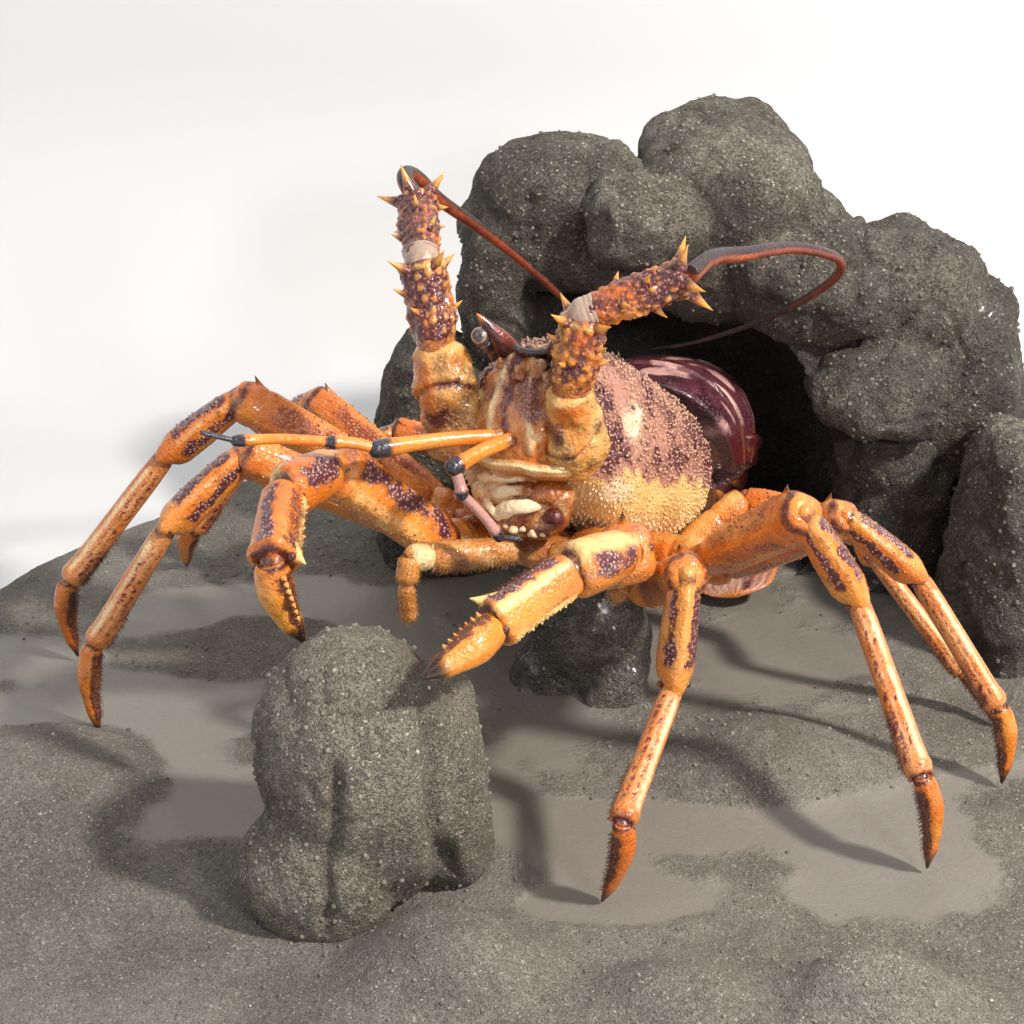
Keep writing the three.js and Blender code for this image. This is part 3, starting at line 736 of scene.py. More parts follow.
LEG_PALE = ShellFinish("leg shell", "orange_shell", "cc7630", "d08c50", "6e2c26", "b06858", "eccfa2",
                       "521c1c", "27120f")
CLAW = ShellFinish("claw shell", "orange_shell", "d0701e", "dc8c34", "582a32", "c29a90", "eac07a", "4e1a16",
                   "1d0f0e", patch=6.0)
STEM = ShellFinish("antenna shell", "cream_shell", "c06018", "c88030", "4c1a1c", "9a5048", "d0a25a", "a58c7a",
                   "e09a3c", grain=2.0, grain_height=0.6, patch=6.0)
FACE = ShellFinish("face shell", "cream_shell", "cc7e2e", "b4642e", "7c4840", "bc8e7c", "e6c890", "562228",
                   "d9a95e", grain=1.5, patch=7.0, second_size=12.0, stain=0.3)
CARAPACE = ShellFinish("carapace shell", "purple_shell", "dfbc78", "daad66", "521e28", "c8937e", "efdcb6",
                       "3a151c", "ebc8a2", grain=1.9, grain_height=0.7, patch=7.0, roughness=0.32,
                       coat=0.4, stain=0.2, flush="a87664")
ABDOMEN = ShellFinish("tail shell", "purple_shell", "552e36", "6a343c", "2c161e", "70444a", "d8a8a0",
                      "561e20", "d98a32", grain=1.8, grain_height=0.2, patch=10.0, roughness=0.3, coat=0.8)
FAN = ShellFinish("fan shell", "fan_shell", "c08068", "cc9c88", "4a2430", "a8646a", "d9b4a4", "3c1c24",
                  "d9812f", patch=12.0, translucency=0.2)
DARK = ShellFinish("dark shell", "dark_shell", "421a1c", "502420", "241416", "6a4640", "863a28", "2a1618",
                   "d0762c", grain=2.0, grain_height=0.12, roughness=0.26)
WHIP = ShellFinish("whip shell", "dark_shell", "74301a", "8a3c1e", "281a1e", "48302e", "d4702c", "1e1618",
                   "3a2220", grain=2.0, grain_height=0.1, patch=9.0, roughness=0.42, coat=0.25)
FEELER = ShellFinish("feeler shell", "orange_shell", "e07c1c", "e28e30", "6a2c2a", "8a4a3c", "b98a80",
                     "2a2630", "2a1a1e", grain=1.2, grain_height=0.08, patch=4.0, stain=0.15)
MOUTH = ShellFinish("mouth shell", "pale_mouth", "e6c592", "cf9650", "96501c", "b87a44", "f0dcb4", "561610",
                    "f2e2bc", grain=1.5, grain_height=0.12, roughness=0.26, second_size=8.0)
EYE = ShellFinish("eye", "eye", "4a3c38", "5a4842", "120c0c", "3a2a26", "9a8378", "8d6a72",
                  "d8c6b8", grain=0.7, grain_height=0.03, roughness=0.12, coat=1.0)
BRISTLE = ShellFinish("bristles", "orange_shell", "7a4018", "5e2c12", "4a2413", "8a5226", "b0752f", "3a1c10",
                      "94602c", grain_height=0.0, roughness=0.5, coat=0.3)

GROUND = SandFinish("sandy ground", "sandy_rock", "78746b", "605c54", "7c7870", "aca699", grain=0.75,
                    speckle=0.3)
ROCK = SandFinish("sandy rock", "sandy_rock", "726d61", "47423a", "2b2825", "b4aea0", grain=1.05,
                  grain_height=0.9)
KNOB = SandFinish("pale sandy rock", "sandy_rock", "7c776b", "5f5a4e", "454038", "b8b2a4", grain=0.9,
                  grain_height=0.9, speckle=0.38)
STONE = SandFinish("small stones", "sandy_rock", "8f897c", "6b665b", "4a463e", "c4beb0", grain=1.6,
                   grain_height=0.3, speckle=0.25)


class Workshop:
    """Turns surfaces into finished pieces of the model."""

    def __init__(self) -> None:
        """Starts with no materials made."""
        self.shared = Shared()
        self.made: dict[str, Material] = {}
        self.trees = ScatterTree()

    def material(self, finish: Finish) -> Material:
        """The material of a finish, built when it is first asked for."""
        if finish.name not in self.made:
            self.made[finish.name] = finish.material(self.shared)
        return self.made[finish.name]

    def piece(self, name: str, shape: Surface | Mesh, finish: Finish, nodes: Iterable[str] = ()) -> Object:
        """Makes a shape a piece of the model.

        Args:
            name: The piece's name.
            shape: Its surface or its mesh, in place.
            finish: What it is made of.
            nodes: The CAD nodes that it stands for.

        Returns:
            The finished object.
        """
        mesh = shape.mesh(name) if isinstance(shape, Surface) else shape
        made = placed(name, mesh)
        mesh.materials.clear()
        mesh.materials.append(self.material(finish))
        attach(made, "root")
        if nodes:
            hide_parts(*nodes)
        log.info("%s: %d faces", name, len(mesh.polygons))
        return made

    def scatter(self, name: str, on: Object, shape: "Sprig", finish: Finish,
                spacing: float, size: tuple[float, float], mask: str, seed: int, lean: float = 0.0
                ) -> Object | None:
        """Grows many small shapes from a piece and makes them a piece of their own.

        Args:
            name: The new piece's name.
            on: The piece that they grow from.
            shape: The small shape.
            finish: What they are made of.
            spacing: Least distance between two of them, in millimetres.
            size: Smallest and largest length, in millimetres.
            mask: The attribute that says where they grow.
            seed: Picks their places.
            lean: From 0, square to the surface, to 1, along the mesh's own lean.

        Returns:
            The new piece, or None where nothing grew.
        """
        carrier = placed(name + "_carrier", on.data)
        template = placed(name + "_template", shape.mesh())
        settings = {"Shape": template, "Spacing": spacing * MM, "Least": size[0], "Most": size[1],
                    "Mask": mask, "Seed": seed, "Lean": lean, "Finish": self.material(finish)}
        mesh = self.trees.grow(carrier, settings)
        for helper in (carrier, template):
            bpy.data.objects.remove(helper)
        if not len(mesh.polygons):
            return None
        mesh.name = name
        self.patch_map(mesh)
        return self.piece(name, mesh, finish)

    @staticmethod
    def patch_map(mesh: Mesh) -> None:
        """Gives each small shape a small patch of the map, at its root's place on the unwrapped surface."""
        count = len(mesh.vertices)
        uv = np.zeros((count, 2), np.float32)
        for k, (root, own) in enumerate((("u", "own_u"), ("v", "own_v"))):
            for layer, share in ((root, 1.0), (own, 0.0015)):
                if layer in mesh.attributes:
                    values = np.zeros(count, np.float32)
                    mesh.attributes[layer].data.foreach_get("value", values)
                    uv[:, k] += share * values
        corners = np.zeros(len(mesh.loops), np.int32)
        mesh.loops.foreach_get("vertex_index", corners)
        layer = mesh.uv_layers.new(name="OFBake")
        layer.uv.foreach_set("vector", uv[corners].ravel())


@dataclass(frozen=True)
class Sprig:
    """A small shape, one millimetre long before it is scaled, that is scattered many times."""

    rings: tuple[tuple[float, float], ...]   # height and radius of each ring
    sides: int = 6
    top: float = 1.0
    bend: float = 0.0
    tipped: float = 0.5                      # height from which the tip mask rises

    def mesh(self) -> Mesh:
        """Builds it standing on the origin along Z."""
        turn = np.linspace(0, 2 * np.pi, self.sides, endpoint=False)
        points = [(r * math.cos(a) + self.bend * h * h, r * math.sin(a), h)
                  for h, r in self.rings for a in turn]
        points.append((self.bend * self.top ** 2, 0, self.top))
        faces = []
        for ring in range(len(self.rings) - 1):
            low = ring * self.sides
            faces += [(low + i, low + (i + 1) % self.sides, low + self.sides + (i + 1) % self.sides,
                       low + self.sides + i) for i in range(self.sides)]
        last = (len(self.rings) - 1) * self.sides
        faces += [(last + i, last + (i + 1) % self.sides, len(points) - 1) for i in range(self.sides)]
        mesh = bpy.data.meshes.new("sprig")
        mesh.from_pydata([(x * MM, y * MM, z * MM) for x, y, z in points], [], faces)
        height = np.array([p[2] for p in points])
        for name, values in (("tip", 0.9 * step(height, self.tipped, 1.0)), ("own_u", [p[0] for p in points]),
                             ("own_v", height)):
            layer = mesh.attributes.new(name, "FLOAT", "POINT")
            layer.data.foreach_set("value", np.array(values, np.float32))
        mesh.shade_smooth()
        return mesh


SPINE = Sprig(((-0.3, 0.42), (0.35, 0.26)), bend=0.15)
GRANULE = Sprig(((-0.35, 0.62), (0.3, 0.5), (0.7, 0.26)), top=0.85, tipped=0.35)
HAIR = Sprig(((-0.1, 0.075), (0.55, 0.055)), sides=3, bend=0.25, tipped=0.6)
PEBBLE = Sprig(((-0.5, 0.3), (-0.1, 0.62), (0.4, 0.5)), sides=5, top=0.65, tipped=2.0)


class ScatterTree:
    """A Geometry Nodes tree that grows small shapes from a surface where a mask allows them."""

    tilt = 0.15                  # how far the shapes stray from their lie, in radians

    def __init__(self) -> None:
        """Builds the tree."""
        self.tree = bpy.data.node_groups.new("scatter", "GeometryNodeTree")
        kinds = {"Surface": "Geometry", "Shape": "Object", "Spacing": "Float", "Least": "Float",
                 "Most": "Float", "Mask": "String", "Seed": "Int", "Lean": "Float", "Finish": "Material"}
        for name, kind in kinds.items():
            self.tree.interface.new_socket(name, in_out="INPUT", socket_type=f"NodeSocket{kind}")
        self.tree.interface.new_socket("Sprigs", in_out="OUTPUT", socket_type="NodeSocketGeometry")
        graph = Graph(self.tree)
        given = graph.node("NodeGroupInput").outputs
        area = graph.math("MULTIPLY", given["Spacing"], given["Spacing"])
        where, lie = (graph.node("GeometryNodeInputNamedAttribute", data_type=kind)
                      for kind in ("FLOAT", "FLOAT_VECTOR"))
        graph.wire(where, Name=given["Mask"])
        graph.wire(lie, Name="lean")
        spread = graph.wire(
            graph.node("GeometryNodeDistributePointsOnFaces", distribute_method="POISSON"),
            Mesh=given["Surface"], Distance_Min=given["Spacing"], Density_Max=graph.math("DIVIDE", 1.2, area),
            Density_Factor=where.outputs["Attribute"], Seed=given["Seed"])
        blend = graph.node("ShaderNodeMix", data_type="VECTOR")
        stand = graph.wire(graph.node("FunctionNodeAlignRotationToVector", axis="Z"),
                           Vector=blend.outputs[1])
        around, grow = (graph.wire(graph.node("FunctionNodeRandomValue", data_type=kind), Seed=given["Seed"])
                        for kind in ("FLOAT_VECTOR", "FLOAT"))
        spin = graph.node("FunctionNodeRotateRotation", rotation_space="LOCAL")
        for node, index, value in (
                (blend, 0, given["Lean"]), (blend, 4, spread.outputs["Normal"]),
                (blend, 5, lie.outputs["Attribute"]),
                (around, 0, (-self.tilt, -self.tilt, 0)), (around, 1, (self.tilt, self.tilt, 6.28)),
                (grow, 2, given["Least"]), (grow, 3, given["Most"]),
                (spin, 0, stand.outputs[0]), (spin, 1, around.outputs[0])):
            graph.feed(node.inputs[index], value)
        info = graph.wire(graph.node("GeometryNodeObjectInfo"), Object=given["Shape"])
        place = graph.wire(
            graph.node("GeometryNodeInstanceOnPoints"), Points=spread.outputs["Points"],
            Instance=info.outputs["Geometry"], Rotation=spin.outputs[0], Scale=grow.outputs[1])
        real = graph.wire(graph.node("GeometryNodeRealizeInstances"), Geometry=place.outputs[0])
        dress = graph.wire(graph.node("GeometryNodeSetMaterial"), Geometry=real.outputs[0],
                           Material=given["Finish"])
        graph.wire(graph.node("NodeGroupOutput"), Sprigs=dress.outputs[0])

    def grow(self, carrier: Object, settings: dict[str, object]) -> Mesh:
        """Runs the tree on an object and returns what grew as a plain mesh."""
        modifier = carrier.modifiers.new("scatter", "NODES")
        modifier.node_group = self.tree
        sockets = {item.name: item.identifier for item in self.tree.interface.items_tree}
        for name, value in settings.items():
            modifier[sockets[name]] = value
        depsgraph = bpy.context.evaluated_depsgraph_get()
        mesh = bpy.data.meshes.new_from_object(carrier.evaluated_get(depsgraph), depsgraph=depsgraph)
        carrier.modifiers.remove(modifier)
        return mesh


def domes(distance: Array, angle: Array, girth: float, spacing: float, seed: int,
          share: float = 1.0) -> Array:
    """Rounded tubercles of uneven size over a ringed surface.

    Args:
        distance: Millimetres along the surface.
        angle: Degrees round it.
        girth: Millimetres once round it.
        spacing: Millimetres from one tubercle to the next.
        seed: Picks their places.
        share: Share of the places that have one.

    Returns:
        The height at each point, from 0 to 1.
    """
    count = max(3, round(girth / spacing))
    u, v = np.broadcast_arrays(np.asarray(distance) / spacing, np.asarray(angle) / 360 * count)
    height = np.zeros(u.shape)
    for du in (-1, 0, 1):
        for dv in (-1, 0, 1):
            row, column = np.floor(u) + du, np.floor(v) + dv
            draws = [chance(row, column % count, seed=seed + k) for k in range(4)]
            away = (u - row - 0.2 - 0.6 * draws[0]) ** 2 + (v - column - 0.2 - 0.6 * draws[1]) ** 2
            radius = 0.26 + 0.3 * draws[2]
            dome = np.clip(1 - away / radius ** 2, 0, 1) * radius / 0.56
            height = np.maximum(height, np.where(draws[3] < share, dome, 0))
    return height


def stretch(low: float, high: float, step_size: float) -> Array:
    """Distances from low to high in even steps, with finer ones in the last three millimetres at each end."""
    fine = np.array([0, 0.12, 0.4, 0.9, 1.7, 2.8])
    middle = np.linspace(low + 3, high - 3, max(3, int((high - low - 6) / step_size) + 1))
    return np.concatenate([low + fine, middle[1:-1] if high - low > 9 else middle[1:2], (high - fine)[::-1]])


def rounded(distance: Array, low: float, high: float, reach: float = 2.6) -> Array:
    """The share of its radius that a rounded end keeps, near both ends."""
    left = np.clip(np.minimum(distance - low, high - distance) / reach, 0.0, 1)
    return np.sqrt(np.clip(left * (2 - left), 0.0004, 1))


def fused(surface: Surface, voxel: float, cut: Surface | None = None, smooth: int = 6
          ) -> tuple[Array, Array, Array]:
    """Grows overlapping solids together into one even skin.

    Args:
        surface: The solids.
        voxel: Size of its faces in millimetres.
        cut: Solids to take away from them first, or None.
        smooth: How many times its creases are smoothed.

    Returns:
        Its points in world millimetres, their normals, and its four-sided faces.
    """
    body = placed("fusing", surface.mesh("fusing"))
    helpers = [body]
    if cut is not None:
        helpers.append(placed("hollow", cut.mesh("hollow")))
        hollow = body.modifiers.new("hollow", "BOOLEAN")
        hollow.operation, hollow.object = "DIFFERENCE", helpers[1]
    remesh = body.modifiers.new("skin", "REMESH")
    remesh.mode, remesh.voxel_size = "VOXEL", voxel * MM
    even = body.modifiers.new("even", "SMOOTH")
    even.factor, even.iterations = 0.5, smooth
    depsgraph = bpy.context.evaluated_depsgraph_get()
    mesh = bpy.data.meshes.new_from_object(body.evaluated_get(depsgraph), depsgraph=depsgraph)
    points = np.zeros(len(mesh.vertices) * 3, np.float32)
    normals = np.zeros(len(mesh.vertices) * 3, np.float32)
    mesh.vertices.foreach_get("co", points)
    mesh.vertices.foreach_get("normal", normals)
    corners = np.zeros(len(mesh.loops), np.int32)
    mesh.loops.foreach_get("vertex_index", corners)
    for helper in helpers:
        bpy.data.objects.remove(helper)
    return (points.reshape(-1, 3).astype(float) / MM - GROUND_CENTRE, normals.reshape(-1, 3).astype(float),
            corners.reshape(-1, 4))


# The rockwork


@dataclass
class Ground:
    """The sandy ground: a slab with a wandering outline, low mounds, wet hollows and pebbles."""

    mounds: tuple[tuple[float, ...], ...] = (
        (95, -85, 50, 42, 15), (-262, -118, 56, 62, 18), (-58, -262, 44, 34, 24),
        (118, -284, 36, 24, 24), (36, -282, 34, 22, 12), (-160, 60, 60, 50, 6),
    )                                               # place, spread and height
    wet: tuple[tuple[float, ...], ...] = (
        (-224, -24, 60, 30), (-208, 96, 50, 22), (144, -205, 60, 26), (26, -211, 50, 22), (-10, -215, 44, 18),
    )                                               # place and spread
    dry: tuple[tuple[float, ...], ...] = (
        (95, -85, 56, 48, 0.9), (-262, -118, 66, 72, 0.9), (-100, -200, 74, 60, 0.8), (-170, 30, 60, 34, 0.6),
        (250, 40, 80, 90, 0.8), (-20, 190, 200, 60, 0.6), (190, -60, 40, 30, 0.6), (-290, 130, 80, 60, 0.8),
        (260, -160, 70, 60, 0.6), (-150, -70, 40, 26, 0.4),
    )                                               # place, spread and how dry
    cave: tuple[float, float] = (100, 150)          # where the ground lies in shade
    sides: int = 620
    rings: int = 140
    underside: tuple[float, ...] = (0.4, 0.8, 0.985, 0.997)  # rings below, as shares of the outline
    wall_rows: int = 7                              # rings down the edge of the slab
    bare_rings: int = 14                            # rings at the rim without pebbles
    squareness: float = 3.4
    rim_drop: float = 5.0

    def rim(self, angle: Array) -> Array:
        """The outline's distance from the middle, a rounded square with its far left corner cut off."""
        square = blunted(np.stack([np.cos(angle), np.sin(angle)], axis=-1), self.squareness)
        wander = 0.012 * np.sin(5 * angle + 1) + 0.008 * np.sin(9 * angle)
        return square * (1 - 0.2 * bump(angle, 2.38, 0.42)) * (1 + wander)

    def height(self, x: Array, y: Array) -> Array:
        """The broad height of the ground."""
        total = 1.2 * np.sin(x / 31 + 0.4) * np.sin(y / 37 + 1.1) - 1
        for cx, cy, wide, deep, height in self.mounds:
            total = total + height * np.exp(-1.4 * (((x - cx) / wide) ** 2 + ((y - cy) / deep) ** 2) ** 1.4)
        return total

    def build(self, shop: Workshop) -> None:
        """Makes the ground and its pebbles."""
        angle = np.linspace(0, 2 * np.pi, self.sides, endpoint=False)
        outline = self.rim(angle)[:, None] * np.stack([np.cos(angle), np.sin(angle)], axis=1)
        low, high = outline.min(axis=0), outline.max(axis=0)
        outline = (outline - (low + high) / 2) / (high - low) * np.array(BASE_SIZE)
        centre = -GROUND_CENTRE[:2]
        below = len(self.underside)
        spread = np.concatenate([self.underside, [1.0] * self.wall_rows,
                                 np.linspace(0.998, 0.004, self.rings)])
        flat = centre + spread[:, None, None] * outline
        x, y = flat[..., 0], flat[..., 1]
        level = np.stack([x, y, np.zeros_like(x)], axis=-1)
        share = np.linalg.norm(flat - centre, axis=-1) / np.linalg.norm(outline, axis=-1)[None]
        dry = 0.55 * step(y, -150, -205) + 0.5 * step(y, 110, 190) + 0.6 * step(share, 0.86, 1.0)
        for cx, cy, wide, deep, height in self.dry:
            dry = dry + height * blob(x, y, (cx, cy), (wide, deep), 2)
        for cx, cy, wide, deep in self.wet:
            dry = dry - 0.75 * blob(x, y, (cx, cy), (wide, deep))
        wetness = 1 - step(dry + 0.3 * noise(level, 44, 4, 3), -0.08, 0.42)
        rough = 1 - wetness
        top = self.height(x, y) + 1.1 * noise(level, 48, 1, 2) * rough + 0.5 * noise(level, 12, 2, 2) * rough
        top += 1.2 * np.clip(noise(level, 5.5, 3) - 0.3, 0, 1) * rough - 0.7 * wetness
        top -= 2.6 * np.clip(noise(level, 15, 7) - 0.38, 0, 1) * rough
        edge = step(share, 0.955, 1)
        top -= self.rim_drop * edge ** 2
        z = top.copy()
        brink = below + self.wall_rows - 1
        z[:below] = -BASE_THICKNESS
        for k, rise in enumerate(np.linspace(0.03, 0.97, self.wall_rows)):
            z[below + k] = -BASE_THICKNESS + rise * (top[brink] + BASE_THICKNESS)
        wall = slice(below + 1, brink)
        face = 0.6 + 0.6 * noise(np.stack([x[wall], y[wall], z[wall]], axis=-1), 14, 5, 2)
        flat[wall] = centre + (flat[wall] - centre) * (1 - 0.006 * np.clip(face, 0, 1))[..., None]
        grid = np.dstack([flat, z])
        # Dampness in patches, and painted shade on the ground under the cave roof.
        damp_and_shade = step(noise(level, 60, 9, 2), 0.1, 0.7) * 0.45
        damp_and_shade = np.maximum(damp_and_shade, 0.75 * blob(x, y, self.cave, (110, 110)))
        inner = (np.arange(len(spread)) > brink + self.bare_rings)[:, None]
        surface = Surface()
        surface.grid(grid, np.array([0, 0, 1.0]), dark=damp_and_shade, deep=wetness, spiny=rough * inner)
        ground = shop.piece("ground", surface, GROUND, ["base_ground"])
        shop.scatter("ground_pebbles", ground, PEBBLE, STONE, 7.5, (0.6, 2.1), "spiny", 3)


@dataclass
class Boulders:
    """The boulders: lumps grown together, then weathered and covered in sand."""

    lumps: dict[str, tuple[tuple, ...]] = field(default_factory=lambda: {
        "rock_knob": (((-97, -190, 52), (46, 50, 72), 1), ((-70, -176, 42), (28, 40, 58), 2),
                      ((-116, -218, 20), (36, 26, 34), 3)),
        "rock_left": (((-68, 172, 46), (46, 48, 84), 4),),
        "rock_roof_left": (((-4, 192, 198), (54, 58, 44), 5), ((-40, 182, 160), (24, 44, 52), 17)),
        "rock_roof": (((88, 195, 200), (60, 66, 55), 6), ((42, 136, 210), (34, 34, 25), 7),
                      ((136, 152, 172), (50, 50, 38), 8)),
        "rock_right": (((190, 166, 158), (52, 54, 44), 9), ((226, 150, 104), (34, 46, 72), 10),
                       ((170, 114, 120), (38, 34, 24), 11)),
        "rock_pillar": (((241, 58, 38), (36, 62, 80), 12),),
        "rock_inner": (((188, 150, 40), (34, 56, 68), 13),),
        "rock_back": (((86, 226, 66), (128, 106, 138), 14),),
        "rock_support": (((8, -2, 34), (30, 27, 42), 16), ((24, -16, 2), (18, 15, 26), 18),
                         ((-12, 4, 0), (21, 24, 22), 19)),
    })
    hollow: tuple = ((52, 150, 62), (104, 116, 108), 15)
    cracks: tuple = (
        ((-104, 78), (-112, 8), 4.6, 3.2), ((-66, 96), (-60, 14), 6.0, 4.2),
    )                                               # both ends across and up, depth and width
    lowest: float = -20.0
    rough: float = 0.05
    blunt: float = 2.5
    fine_voxel: float = 1.6
    voxel: float = 2.1

    def lump(self, surface: Surface, centre: tuple, radii: tuple, seed: int) -> None:
        """Adds one lump, cut off flat inside the ground."""
        def place(x: Array, y: Array, z: Array) -> Array:
            return np.stack([x, y, np.maximum(z, self.lowest)], axis=-1)
        surface.ball(centre, radii, (56, 84), place, self.blunt, self.rough, seed)

    def weather(self, name: str, p: Array, n: Array) -> tuple[Array, dict[str, Array]]:
        """How far each point moves along its normal, and the masks there; the dark mask holds dampness and,
        on most rocks, painted shade.
        """
        move = 3.2 * noise(p, 46, 3, 2) + 2.4 * noise(p, 17, 5, 2) + 1.0 * noise(p, 7.5, 6, 2) - 1.4
        move -= 5.0 * np.clip(noise(p, 12, 9) - 0.36, 0, 1)
        crease = step(np.abs(noise(p, 54, 21, 2)), 0.07, 0.0) * step(noise(p, 70, 23), -0.1, 0.3)
        move += 0.45 * noise(p, 4.6, 16) - 3.0 * crease
        # Faces that turn downwards and the creases are painted darker: painted shade. The noise patches are
        # dampness.
        up = step(n[:, 2], -0.35, 0.75)
        dark = 0.5 * (1 - up) + 0.45 * step(noise(p, 34, 11, 3), 0.0, 0.8) + 0.4 * crease
        gloss = np.zeros(len(p))
        if name == "rock_knob":
            move = 0.5 * move + 1.6 * noise(p * np.array([1, 1, 0.45]), 22, 31, 2)
            # Every face of the knob that does not turn upwards is painted darker: painted shade.
            dark = 0.4 * (1 - step(n[:, 2], -0.8, 0.5))
            for start, end, depth, width in self.cracks:
                t = np.clip((p[:, 2] - end[1]) / (start[1] - end[1]), 0, 1)
                line = end[0] + (start[0] - end[0]) * t + 2.2 * noise(p, 16, 2)
                cut = bump(p[:, 0], line, width) * step(p[:, 1], -170, -190)
                cut = cut * step(p[:, 2], end[1] - 8, end[1] + 6) * step(p[:, 2], start[1] + 14, start[1])
                move -= depth * cut
                # The cracks are painted darker inside: painted shade.
                dark = np.maximum(dark, 0.5 * cut)
        if name == "rock_support":
            dark = 0.35 + 0.25 * noise(p, 12, 6)
            gloss = step(noise(p, 22, 4, 2), -0.25, 0.35)
            move = 2.4 * noise(p, 22, 5, 2) + 1.3 * noise(p, 8, 6, 2) - 1.6
        if name == "rock_back":
            inside = (p - np.array(self.hollow[0])) / (np.array(self.hollow[1]) + 7)
            inner = step((np.abs(inside) ** 2.5).sum(axis=1), 1.12, 0.9)
            # The inside of the cave is painted near black: partly a dark wet coat, partly painted shade.
            dark = np.maximum(dark, inner)
            move = np.where(inner > 0.5, move + 0.8 * noise(p, 5, 8), move)
        # The cave's inner wall and the left boulder, which lie away from the light, are painted darker all
        # over: painted shade.
        if name in ("rock_inner", "rock_left"):
            dark = np.maximum(dark, 0.6)
        if name in ("rock_right", "rock_roof"):
            gloss = 0.7 * step(noise(p, 24, 14, 2), 0.25, 0.7) * step(p[:, 0], 150, 190)
            dark = np.maximum(dark, 0.5 * step(p[:, 0], 130, 190))
            move += 1.4 * np.clip(noise(p, 9, 12), 0, 1) * gloss
        return move, {"dark": dark, "pale": gloss, "spiny": step(noise(p, 18, 15, 2), -0.3, 0.4)}

    def build(self, shop: Workshop) -> None:
        """Makes each boulder and the pebbles that stick to it."""
        for k, (name, lumps) in enumerate(self.lumps.items()):
            solids = Surface()
            for centre, radii, seed in lumps:
                self.lump(solids, centre, radii, seed)
            cut = None
            if name == "rock_back":
                cut = Surface()
                self.lump(cut, *self.hollow)
            near = name in ("rock_knob", "rock_support")
            points, normals, quads = fused(solids, self.fine_voxel if near else self.voxel, cut)
            move, masks = self.weather(name, points, normals)
            skin = Surface()
            skin.patch(points + normals * move[:, None], quads, **masks)
            rock = shop.piece(name, skin, KNOB if name == "rock_knob" else ROCK, [name])
            if name != "rock_support":
                shop.scatter(f"{name}_pebbles", rock, PEBBLE, STONE, 5.2, (0.6, 2.5), "spiny", 20 + k)


# The body


